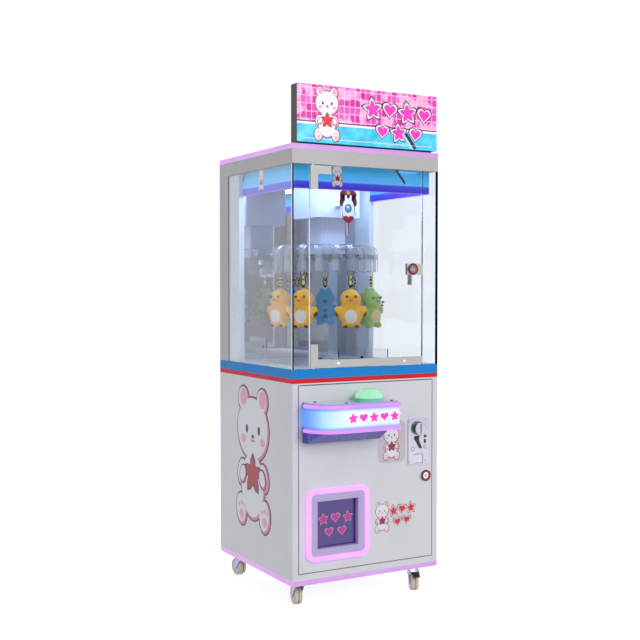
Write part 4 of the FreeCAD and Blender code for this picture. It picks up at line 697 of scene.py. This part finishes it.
def pointer_art():
    low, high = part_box("pointer")
    mid = (low.x + high.x) / 2
    piece = Piece("pointer_print_shapes", "cabinet", "pointer_print")
    dark, maroon, red, white = printed("black"), printed("maroon"), printed("red"), printed("white")
    table = [
        ("oval", 0, 110, 27.5, 18.5, 0.0, dark, 0.6),
        ("oval", 0, 110, 26, 17, 0.0, maroon, 1),
        ("oval", -19, 96, 8.5, 17, -0.25, maroon, 1),
        ("oval", 19, 96, 8.5, 17, 0.25, maroon, 1),
        ("oval", 0, 69, 21, 34, 0.0, dark, 2),
        ("oval", 0, 69, 19.4, 32, 0.0, white, 3),
        ("heart", 0, 42, 17, 13, 0.0, dark, 4),
        ("heart", 0, 42, 15.4, 11.4, 0.0, red, 4.5),
        ("oval", 0, 74, 11, 12, 0.0, red, 4.7),
        ("oval", -7, 100, 3.4, 11, 0.12, white, 3.5),
        ("oval", 7, 100, 3.4, 11, -0.12, white, 3.5),
        # The cyan window here and the yellow star two rows below glow at 0.4 with no lamp behind them:
        # painted light on the print.
        ("oval", 0, 74, 8.6, 9.6, 0.0, printed("cyan", 0.4), 5),
        ("oval", -2.5, 77, 3.2, 3.6, 0.0, white, 6),
        ("star", 0, 117, 7, 7, 0.0, printed("sunny", 0.4), 4),
        ("card", 0, 16, 2.0, 15, 0.0, red, 2),
    ]
    shapes = [(kind, mid + x * MM, low.z + z * MM, wide * MM, tall * MM, turn, finish, level)
              for kind, x, z, wide, tall, turn, finish, level in table]
    lay(piece, front_plane(low.y), shapes)
    return piece.done()


for art in (sign_art, wall_art, pelmet_art, console_art, door_art, flap_art, pointer_art):
    art()


# ---- small fittings ------------------------------------------------------------------
def lock_trim():
    """A dark ring with a red lip inside it round both locks."""
    red = coat("ring_red", (0.6, 0.02, 0.015), 0.25, 0.08, 400.0, 0.01, clear=0.6)
    for node, body in (("door_lock_barrel", "service_door"), ("glass_lock_barrel", "glass_door")):
        mid = middle(node)
        centre = Vector((mid.x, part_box(node)[0].y, mid.z))
        piece = Piece(node + "_red_ring", body, "chrome")
        piece.turned([(15.8, -0.1), (15.8, 1.6), (14.4, 2.2), (12.2, 1.5),
                      (12.2, -0.1)], centre, -Y_AXIS, looks["black"], 40)
        piece.turned([(12.1, -0.1), (12.1, 1.2), (10.6, 1.7), (8.8, 1.0),
                      (8.8, -0.1)], centre, -Y_AXIS, red, 40)
        piece.done()


def glass_edges():
    """Painted highlight on the panes' edges: thin glowing strips that stand in for the chamber's light
    gathered in the polished edges.
    """
    low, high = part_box("fixed_glass")
    piece = Piece("fixed_pane_edge_highlights", "cabinet", "clear_glass")
    skin = 0.3 * MM
    for x in (low.x - skin, high.x):
        piece.block(Vector((x, low.y + 0.8 * MM, low.z)), Vector((x + skin, low.y + 5.2 * MM, high.z)),
                    looks["edge_highlight"])
    piece.done()
    low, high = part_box("glass_pane")
    piece = Piece("door_pane_edge_highlights", "glass_door", "clear_glass")
    for x in (low.x - skin, high.x):
        piece.block(Vector((x, low.y + 0.8 * MM, low.z + 20 * MM)),
                    Vector((x + skin, high.y - 0.8 * MM, high.z - 20 * MM)),
                    looks["edge_highlight"])
    piece.done()


def coin_trim():
    """What shows on the coin plate: insert rim, display window, lamp, symbols and a scroll guide."""
    low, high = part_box("coin_plate")
    face = DOOR_FACE_Y
    mid_x = (low.x + high.x) / 2
    mid_z = (low.z + high.z) / 2
    piece = Piece("coin_plate_details", "service_door", "steel")
    chrome, black = looks["chrome"], looks["black"]
    insert = Vector((mid_x, face - 12 * MM, mid_z + 36 * MM))
    piece.turned([(18.2, -12.0), (18.6, -2.0), (17.2, 0.2), (16.0, -0.4)],
                 insert, -Y_AXIS, chrome, 40)
    lamp = glowing("coin_lamp", (0.25, 0.75, 1.0), 1.6)
    for x0, x1, z0, z1, proud, finish, bevel in ((18, 26, 10, 17, 1.0, lamp, 0.3),
                                                 (18.5, 24.5, -6, 5, 1.2, black, 0.3),
                                                 (-15, 3, 9.5, 15.5, 1.6, black, 0.4)):
        piece.block(Vector((mid_x + x0 * MM, face - proud * MM, mid_z + z0 * MM)),
                    Vector((mid_x + x1 * MM, face - 0.02 * MM, mid_z + z1 * MM)), finish, bevel * MM)
    piece.loop(Vector((mid_x - 19 * MM, face, mid_z - 20 * MM)), X_AXIS, Z_AXIS, 5.5 * MM, 0.6 * MM, black)
    symbol = Vector((mid_x + 21 * MM, face, mid_z - 16 * MM))
    raised = Vector((mid_x + 21 * MM, face - 0.8 * MM, mid_z - 16 * MM))
    piece.loop(symbol, X_AXIS, Z_AXIS, 4.5 * MM, 0.5 * MM, black)
    piece.cone(symbol, raised, 3.0 * MM, 3.0 * MM, printed("white"))
    piece.done()


def screws():
    """Cross-head screws on the glass rail and the console's top."""
    piece = Piece("rail_screws", "glass_door", "steel")
    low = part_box("glass_fittings")[0]
    for x in (-92, 118):
        centre = Vector((x * MM, low.y, low.z + 10 * MM))
        piece.turned([(5.2, -0.1), (5.0, 0.9), (3.0, 1.7), (0.9, 1.9),
                      (0.9, 0.7), (0.05, 0.7)], centre, -Y_AXIS, looks["chrome"], 24)
    piece.done()
    piece = Piece("console_screws", "service_door", "steel")
    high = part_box("console_top")[1].z
    for x, y in ((-172, -246), (24, -246), (-112, -306), (28, -306)):
        centre = Vector((x * MM, y * MM + CENTRE_Y, high))
        piece.turned([(4.2, -0.1), (4.0, 0.8), (2.2, 1.5), (0.8, 1.6),
                      (0.8, 0.6), (0.05, 0.6)], centre, Z_AXIS, looks["black"], 20)
    piece.done()


def back_screws():
    """Pan-head screws down both edges of the back board and across its joints."""
    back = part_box("cabinet_shell")[1].y
    piece = Piece("back_board_screws", "cabinet", "steel")
    for x in (-212, -72, 72, 212):
        for z in (92, 290, 470, 640, 812, 984, 1150):
            if abs(x) > 100 or z in (92, 1150):
                centre = Vector((x * MM, back, z * MM))
                piece.turned([(4.6, -0.1), (4.4, 0.8), (2.6, 1.6), (0.8, 1.7),
                              (0.8, 0.7), (0.05, 0.7)], centre, Y_AXIS, looks["steel"], 16)
    piece.done()


def dome_ribs():
    """A faceted clear cap with ribs over the lit button."""
    mid = middle("button_dome")
    piece = Piece("button_ribs", "button", "button_green")
    cap = clear("cap_clear", (0.98, 0.9, 0.94), 0.06, 1.4)
    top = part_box("button_dome")[1].z
    piece.turned([(17.0, -1.4), (16.0, 1.6), (12.0, 3.2), (6.0, 4.2), (0.02, 4.4)],
                 Vector((mid.x, mid.y, top - 2.0 * MM)), Z_AXIS, cap, 32)
    for index in range(16):
        a = index / 16 * math.tau
        side = Vector((math.cos(a), math.sin(a), 0))
        start = Vector((mid.x, mid.y, top - 3.4 * MM)) + side * 17 * MM
        end = Vector((mid.x, mid.y, top - 16.5 * MM)) + side * 35.0 * MM
        piece.ball((start + end) / 2, (11.2 * MM, 2.2 * MM, 1.8 * MM), looks["dome"],
                   Matrix.Rotation(a, 4, "Z") @ Matrix.Rotation(math.radians(35), 4, "Y"), 6)
    piece.done()


def column_trim():
    """Screws on the front of the drive column and of the motor box."""
    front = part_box("motor_housing")[0].y
    piece = Piece("column_details", "cabinet", "cabinet_paint")
    rows = ((28, (962, 1038), COLUMN_FACE_Y, [(2.6, -0.1), (2.4, 0.7), (0.02, 1.1)]),
            (58, (1066, 1184), front, [(3.2, -0.1), (3.0, 0.9), (0.02, 1.3)]))
    for reach, heights, y, profile in rows:
        for x in (-reach, reach):
            for z in heights:
                piece.turned(profile, Vector((x * MM, y, z * MM)), -Y_AXIS, looks["steel"], 16)
    piece.done()


def wheel_trim():
    """Hub caps on every caster wheel, and the dark core between its treads."""
    for corner in ("fl", "fr", "bl", "br"):
        low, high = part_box("caster_wheel_" + corner)
        centre = (low + high) / 2
        joint = next(j for j in frame["joints"] if j["name"] == "roll_" + corner)
        axis = Vector(joint["axis"]).normalized()
        piece = Piece("wheel_hub_" + corner, "caster_roller_" + corner, "steel")
        for side in (-1, 1):
            face = centre + axis * side * 9.6 * MM
            piece.turned([(17.0, -0.4), (16.6, 0.5), (12.0, 0.9), (11.0, 0.3),
                          (4.2, 0.3)], face, axis * side, looks["fork"], 32)
        piece.loop(centre, axis.cross(Z_AXIS).normalized(), Z_AXIS, 23.9 * MM, 0.9 * MM, looks["black"],
                   steps=40)
        piece.done()


for fit in (lock_trim, glass_edges, coin_trim, screws, back_screws, dome_ribs, column_trim, wheel_trim):
    fit()


# ---- keychains -----------------------------------------------------------------------
RING_PLACE = 137.2 * MM
RING_Z = 892.65 * MM
STRAP_TOP = 885.45 * MM
TOY_TOP = 856.55 * MM
AXIS = Vector((0, CENTRE_Y, 0))


def about_axis(angle):
    return Matrix.Translation(AXIS) @ Matrix.Rotation(angle, 4, "Z") @ Matrix.Translation(-AXIS)


def at_claw(index):
    """The turn that carries a piece made at the front claw to the claw of toy number index."""
    return about_axis(index * TURN_STEP)


def spot(z):
    return Vector((0, AXIS.y - RING_PLACE, z))


TOYS = {
    "chick": {
        "colour": (0.93, 0.42, 0.015), "tip": (1.0, 0.62, 0.08), "second": (0.88, 0.84, 0.78),
        "third": (0.16, 0.05, 0.015),
        "balls": [((0, 0, -30), (29, 26, 27)), ((0, 0, -72), (32, 28, 32)), ((-33, -4, -62), (11, 9, 17)),
                  ((33, -4, -62), (11, 9, 17)),
                  ((-15, -12, -100), (10, 12, 7)), ((15, -12, -100), (10, 12, 7)), ((0, 3, -4), (4, 4, 7))],
        "belly": ((0, -28, -76), (18, 14, 21)),
        "tips": [((-41, -4, -72), 11), ((41, -4, -72), 11), ((-15, -22, -103), 8), ((15, -22, -103), 8),
                 ((0, 3, 2), 5)],
        "eyes": ((11.5, -25.0, -24), 3.6), "beak": ((0, -29, -33), (6, 5, 3.2), (0.75, 0.12, 0.16)),
    },
    "dino": {
        "colour": (0.33, 0.55, 0.13), "tip": (0.48, 0.68, 0.26), "second": (0.82, 0.66, 0.36),
        "third": (0.72, 0.5, 0.1),
        "balls": [((0, 0, -32), (31, 26, 26)), ((0, 0, -74), (31, 28, 30)), ((-31, -6, -60), (10, 9, 12)),
                  ((31, -6, -60), (10, 9, 12)),
                  ((-16, -10, -99), (11, 13, 9)), ((16, -10, -99), (11, 13, 9)),
                  ((-10, 4, -6), (7, 6, 7)), ((10, 4, -6), (7, 6, 7)),
                  ((0, 27, -92), (12, 15, 10))],
        "belly": ((0, -28, -78), (19, 14, 22)),
        "tips": [((0, 27, -40), 7), ((0, 30, -62), 8), ((0, 28, -80), 7)],
        "eyes": ((13.0, -24.0, -27), 3.4), "beak": ((0, -28.5, -37), (5, 2.4, 1.6), (0.1, 0.14, 0.04)),
    },
    "round": {
        "colour": (0.72, 0.72, 0.78), "tip": (0.86, 0.86, 0.9), "second": (0.85, 0.45, 0.52),
        "third": (0.6, 0.12, 0.2),
        "balls": [((0, 0, -52), (36, 31, 40)), ((-28, -2, -22), (9, 7, 9)), ((28, -2, -22), (9, 7, 9)),
                  ((-33, -8, -66), (9, 8, 10)),
                  ((33, -8, -66), (9, 8, 10)), ((-15, -10, -94), (10, 11, 8)),
                  ((15, -10, -94), (10, 11, 8))],
        "belly": ((0, -32, -70), (9, 8, 10)),
        "tips": [((-30, -4, -16), 5), ((30, -4, -16), 5)],
        "eyes": ((12.5, -28.5, -40), 3.4), "beak": ((0, -31.5, -49), (4.5, 3.5, 3.0), (0.7, 0.05, 0.08)),
    },
}
TOY_ORDER = ["chick", "dino", "round", "round", "dino", "round", "dino", "chick", "chick"]
TOY_COUNT = len(TOY_ORDER)
TOY_TINTS = {3: (0.4, 0.42, 0.46), 4: (0.2, 0.5, 0.8), 5: (0.85, 0.5, 0.36), 6: (0.35, 0.66, 0.52)}
TOY_FACING = [-0.45, -0.5, -0.7, 0.3, 0.0, -0.3, 0.4, 0.5, 0.1]
VOXEL = 4.5 * MM
SHRINK = 0.94
TOY_SCALE = 1.08
SIM_FRAMES = 20
MOST_GROWTH = 4.0 * MM


def baked(obj):
    graph = bpy.context.evaluated_depsgraph_get()
    return bpy.data.meshes.new_from_object(obj.evaluated_get(graph))


def stuffed(kind):
    """The soft shape of one toy about its own top: blended balls, blown up as cloth, then seamed."""
    form = bmesh.new()
    for centre, radii in TOYS[kind]["balls"]:
        sizes = [r * SHRINK * MM for r in radii]
        matrix = Matrix.Translation(Vector(centre) * MM) @ Matrix.Diagonal((*sizes, 1))
        bmesh.ops.create_uvsphere(form, u_segments=32, v_segments=20, radius=1.0, matrix=matrix)
    blank = fresh_object(kind + "_form", meshed(form, kind + "_form"))
    skin = blank.modifiers.new("skin", "REMESH")
    skin.mode, skin.voxel_size = "VOXEL", VOXEL
    even = blank.modifiers.new("even", "SMOOTH")
    even.iterations, even.factor = 4, 0.5
    start = baked(blank)
    bpy.data.objects.remove(blank)
    soft = fresh_object(kind + "_cloth", start)
    cloth = soft.modifiers.new("cloth", "CLOTH")
    cloth.settings.use_pressure = True
    cloth.settings.uniform_pressure_force = 4.0
    cloth.settings.effector_weights.gravity = 0.0
    cloth.point_cache.frame_start, cloth.point_cache.frame_end = 1, SIM_FRAMES
    for step in range(1, SIM_FRAMES + 1):
        bpy.context.scene.frame_set(step)
    blown = baked(soft)
    for before, after in zip(start.vertices, blown.vertices):
        shift = after.co - before.co
        if shift.length > MOST_GROWTH:
            after.co = before.co + shift.normalized() * MOST_GROWTH
    bpy.data.objects.remove(soft)
    bpy.context.scene.frame_set(1)
    start = blown
    form = bmesh.new()
    form.from_mesh(start)
    bmesh.ops.smooth_vert(form, verts=form.verts, factor=0.5, use_axis_x=True, use_axis_y=True,
                          use_axis_z=True)
    bmesh.ops.subdivide_edges(form, edges=form.edges, cuts=1, use_grid_fill=True, smooth=0.6)
    form.normal_update()
    for vert in form.verts:
        side = abs(vert.co.y - 2 * MM) / (2.2 * MM)
        back = abs(vert.co.x) / (2.2 * MM) if vert.co.y > 0 else 9.0
        pull = max(0.0, 1 - min(side, back))
        wrinkle = noise.noise(vert.co * 90) * 0.5 * MM
        vert.co -= vert.normal * (pull * 1.1 * MM - wrinkle)
    return form


def inside(point, centre, radii):
    """How far inside an ellipsoid a point is: above 1 well inside, 0 outside."""
    reach = math.sqrt(sum(((p - c * MM) / (r * MM)) ** 2 for p, c, r in zip(point, centre, radii)))
    return max(0.0, min(1.0, (1.06 - reach) / 0.12))


def tinted_plush(kind, tint, name):
    """Plush whose pattern follows the piece's own colour attribute."""
    made = Finish(name)
    spec = TOYS[kind]
    colour = tint or spec["colour"]
    tip = shade(tint, 1.3) if tint else spec["tip"]
    pile = made.noise(950.0, 4.0, 0.7)
    nap = made.noise(55.0, 3.0)
    mask = made.node("ShaderNodeSeparateColor")
    made.feed(mask.inputs[0], made.node("ShaderNodeAttribute", attribute_name="patch").outputs["Color"])
    main = made.mix(made.ramp(pile, (0.42, 0.0), (0.62, 1.0)),
                    made.ramp(nap, (0.3, shade(colour, 0.8)), (0.7, colour)), tip)
    belly = made.ramp(pile, (0.4, shade(spec["second"], 0.82)), (0.62, shade(spec["second"], 1.05)))
    third = shade(tint, 0.55) if tint else spec["third"]
    ends = made.ramp(pile, (0.4, shade(third, 0.7)), (0.62, shade(third, 1.2)))
    shown = made.mix(mask.outputs[1], made.mix(mask.outputs[0], main, belly), ends)
    made.put(Base_Color=shown, Roughness=made.ramp(nap, (0.3, 0.85), (0.7, 0.97)), Sheen_Weight=0.5,
             Sheen_Roughness=0.4)
    return made.bump(pile, 0.5 * MM)


def toys():
    forms = {kind: stuffed(kind) for kind in TOYS}
    bead = coat("eye_black", (0.008, 0.008, 0.01), 0.08, 0.1, 200.0, 0.0, clear=1.0)
    for index in range(TOY_COUNT):
        kind = TOY_ORDER[index]
        spec = TOYS[kind]
        name = f"{kind}_toy_{index + 1}"
        faced = Matrix.Rotation(TOY_FACING[index], 4, "Z") @ Matrix.Scale(TOY_SCALE, 4)
        carry = at_claw(index) @ Matrix.Translation(spot(TOY_TOP - 1.5 * MM)) @ faced
        bm = forms[kind].copy()
        patch = bm.verts.layers.float_color.new("patch")
        for vert in bm.verts:
            belly = inside(vert.co, *spec["belly"])
            ends = max(inside(vert.co, centre, (r, r, r)) for centre, r in spec["tips"])
            vert[patch] = (belly, ends, 0.0, 1.0)
        bmesh.ops.transform(bm, matrix=carry, verts=bm.verts)
        mesh = meshed(bm, name)
        for polygon in mesh.polygons:
            polygon.use_smooth = True
        mesh.materials.append(tinted_plush(kind, TOY_TINTS.get(index), "plush_" + name).material)
        body = fresh_object(name, mesh)
        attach(body, "carousel")
        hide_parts("toy_chicks", "toy_bears")

        face = Piece(name + "_face", "carousel", "black_plastic")
        eye, radius = spec["eyes"]
        for side in (-1, 1):
            face.ball(Vector((eye[0] * side, eye[1], eye[2])) * MM, (radius * MM,) * 3, bead)
        centre, radii, colour = spec["beak"]
        face.ball(Vector(centre) * MM, tuple(r * MM for r in radii), coat("beak_" + name, colour, 0.5))
        bmesh.ops.transform(face.bm, matrix=carry, verts=face.bm.verts)
        face.done()
    for form in forms.values():
        form.free()


def hangers():
    """Split rings, clasps, and a ribbon or a string of beads for each toy."""
    ribbon = plush("ribbon_yellow", (0.95, 0.74, 0.02))
    gold = brushed("bead_gold", (0.85, 0.6, 0.22), 0.2)
    black = looks["black"]
    for index in range(TOY_COUNT):
        piece = Piece(f"key_ring_{index + 1}", "carousel", "chrome")
        for offset in (-0.55, 0.55):
            piece.loop(spot(RING_Z) + Y_AXIS * offset * MM, X_AXIS, Z_AXIS, 9.9 * MM, 0.62 * MM,
                       looks["chrome"])
        if index % 2 == 0:
            top, low = STRAP_TOP, TOY_TOP + 0.5 * MM
            piece.loop(spot((top + low) / 2), X_AXIS, Z_AXIS, 6.2 * MM, 1.5 * MM, ribbon,
                       (top - low) / (12.4 * MM), 24, 6)
            clasp, half = spot(STRAP_TOP - 9 * MM), Vector((4.2, 2.2, 3.2)) * MM
            piece.block(clasp - half, clasp + half, black, 0.8 * MM)
            piece.cone(spot(STRAP_TOP - 14 * MM), spot(STRAP_TOP - 22 * MM), 3.0 * MM, 5.4 * MM, ribbon, 12)
            piece.cone(spot(STRAP_TOP - 7 * MM), spot(STRAP_TOP + 2 * MM), 2.4 * MM, 4.2 * MM, ribbon, 12)
        else:
            for bead in range(16):
                a = bead / 16 * math.tau
                drop = spot((STRAP_TOP + TOY_TOP) / 2)
                place = drop + X_AXIS * math.sin(a) * 6.4 * MM + Z_AXIS * math.cos(a) * 13.0 * MM
                piece.ball(place, (2.7 * MM,) * 3, black if bead % 2 else gold, None, 6)
        bmesh.ops.transform(piece.bm, matrix=at_claw(index), verts=piece.bm.verts)
        ring = piece.done()
        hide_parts("key_rings")


CLAW_PATH = ((60, 975.2), (92, 975.4), (124, 974.6), (136, 971.0), (144.5, 963.0), (148.4, 951.0),
             (148.6, 925.0),
             (148.6, 902.0), (147.0, 898.8), (137.6, 898.4))


def claws():
    """Clear claws with round shoulders: a bent strap each with a painted highlight on its side faces, two
    cheeks at the disc, and pivot bosses.
    """
    piece = Piece("claw_shells", "carousel", "clear_acrylic")
    finish = looks["claw"]
    for index in range(CLAW_COUNT):
        turn = about_axis(index / CLAW_COUNT * math.tau)
        strap = bmesh.new()
        steps = len(CLAW_PATH) - 1
        grid = bmesh.ops.create_grid(strap, x_segments=steps, y_segments=2, size=0.5)
        for vert in grid["verts"]:
            step = round((vert.co.x + 0.5) * steps)
            reach, z = CLAW_PATH[step]
            half = min(12.0, 9.7 + (reach - 60) * 0.036) if z > 955 else 9.2
            crown = 0.9 * (1 - abs(vert.co.y * 2)) if step < 8 else 0.0
            vert.co = Vector((vert.co.y * 2 * half * MM, AXIS.y - (reach + crown) * MM, (z + crown) * MM))
        bmesh.ops.recalc_face_normals(strap, faces=strap.faces)
        bmesh.ops.solidify(strap, geom=strap.faces, thickness=1.8 * MM)
        held = meshed(strap, "strap")
        before = set(piece.bm.verts)
        piece.bm.from_mesh(held)
        bpy.data.meshes.remove(held)
        for face in piece.bm.faces:
            if not set(face.verts) & before:
                face.tag = abs(face.normal.x) > 0.7
        piece.painted(finish)
        # The strap's side faces take the glowing finish: a painted highlight along the claw's edges.
        for face in piece.bm.faces:
            if not set(face.verts) & before and abs(face.normal.x) > 0.7:
                face.tag = False
        piece.painted(looks["edge_highlight"])
        for side in (-1, 1):
            low = Vector((min(side * 9.6, side * 12.0), -147.0, 934.2)) * MM + AXIS
            high = Vector((max(side * 9.6, side * 12.0), -112.5, 947.0)) * MM + AXIS
            piece.block(low, high, finish, 0.8 * MM)
            piece.loop(AXIS + Vector((side * 12.2, -132, 940)) * MM, Y_AXIS, Z_AXIS, 3.6 * MM, 0.7 * MM,
                       finish, steps=16, sides=6)
        made = [v for v in piece.bm.verts if v not in before]
        bmesh.ops.transform(piece.bm, matrix=turn, verts=made)
    shells = piece.done()
    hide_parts("claw_bodies")


toys()
hangers()
claws()


# ---- stage, light and camera ---------------------------------------------------------
def stage():
    """A floor that sweeps up all round, and a dim card that only the mirror and the panes see."""
    sweep = bmesh.new()
    bmesh.ops.create_grid(sweep, x_segments=60, y_segments=60, size=14.0)
    for vert in sweep.verts:
        reach = max(0.0, vert.co.xy.length - 5.0)
        vert.co.z = 0.16 * reach ** 2
    mesh = meshed(sweep, "floor")
    for polygon in mesh.polygons:
        polygon.use_smooth = True
    ground = fresh_object("floor", mesh)
    finish = Finish("floor_pale")
    pale = finish.ramp(finish.noise(0.6), (0.3, (0.84, 0.84, 0.85)), (0.7, (0.86, 0.86, 0.87)))
    finish.put(Base_Color=pale, Roughness=0.7, Emission_Color=pale, Emission_Strength=0.68)
    mesh.materials.append(finish.material)
    ground.visible_diffuse = False

    card = bmesh.new()
    upright = Matrix.Rotation(math.radians(90), 4, "X") @ Matrix.Diagonal((1.05, 1.04, 1, 1))
    turn = Matrix.Translation((1.75, -2.5, 1.39)) @ upright
    bmesh.ops.create_grid(card, x_segments=1, y_segments=1, size=1.0, matrix=turn)
    mesh = meshed(card, "room_card")
    board = fresh_object("room_card", mesh)
    finish = Finish("room_dim")
    dark = finish.ramp(finish.noise(2.0, 2.0), (0.35, (0.05, 0.04, 0.08)), (0.65, (0.1, 0.1, 0.14)))
    hall = finish.ramp(finish.noise(3.0, 3.0), (0.3, (0.2, 0.22, 0.27)), (0.7, (0.33, 0.34, 0.4)))
    across = finish.between(0, 0.8, 2.6)
    finish.put(Base_Color=(0.02, 0.015, 0.03), Roughness=0.8, Emission_Strength=0.8,
               Emission_Color=finish.mix(finish.ramp(across, (0.36, 0.0), (0.5, 1.0)), dark, hall))
    mesh.materials.append(finish.material)
    board.visible_camera = False
    board.visible_shadow = False
    board.visible_diffuse = False

    world = bpy.data.worlds.new("studio")
    world.use_nodes = True
    background = world.node_tree.nodes["Background"]
    background.inputs["Color"].default_value = (0.93, 0.95, 1.0, 1.0)
    background.inputs["Strength"].default_value = 0.55
    bpy.context.scene.world = world


def lamp(name, place, target, size, power, colour=(1, 1, 1), tall=None):
    data = bpy.data.lights.new(name, "AREA")
    data.energy, data.color, data.size = power, colour, size
    if tall:
        data.shape, data.size_y = "RECTANGLE", tall
    made = bpy.data.objects.new(name, data)
    made.location = place
    made.rotation_euler = (Vector(target) - Vector(place)).to_track_quat("-Z", "Y").to_euler()
    made.visible_camera = False
    made.visible_transmission = False
    bpy.context.scene.collection.objects.link(made)
    return made


stage()
lamp("key", (0.7, -3.8, 2.3), (0, 0, 0.7), 1.8, 68.0)
lamp("fill", (-3.2, -1.2, 1.8), (0, 0, 0.7), 2.0, 10.0)
lamp("rear", (2.4, 3.2, 2.3), (0, 0, 0.7), 2.0, 46.0)
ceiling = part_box("fascia")[0].z
for side in (-1, 1):
    lamp(f"chamber_lamp_{side}", (side * 0.14, 0.0, ceiling - 4 * MM), (side * 0.14, 0.0, 0.6), 0.06, 0.8,
         (0.5, 0.7, 1.0), 0.34)
lamp("chamber_front_lamp", (0.0, -0.1, ceiling - 4 * MM), (0.0, -0.06, 0.6), 0.34, 0.8, (0.55, 0.73, 1.0),
     0.05)

camera = bpy.data.objects.new("camera", bpy.data.cameras.new("camera"))
camera.location = (-1.5336, -2.6508, 0.8577)
camera.rotation_euler = (math.radians(90) - 0.0313, 0.0, -math.radians(29.3))
camera.data.lens = 60.54
camera.data.sensor_width = 36.0
camera.data.clip_start = 0.05
bpy.context.scene.collection.objects.link(camera)
bpy.context.scene.camera = camera
bpy.context.scene.view_settings.view_transform = "Standard"
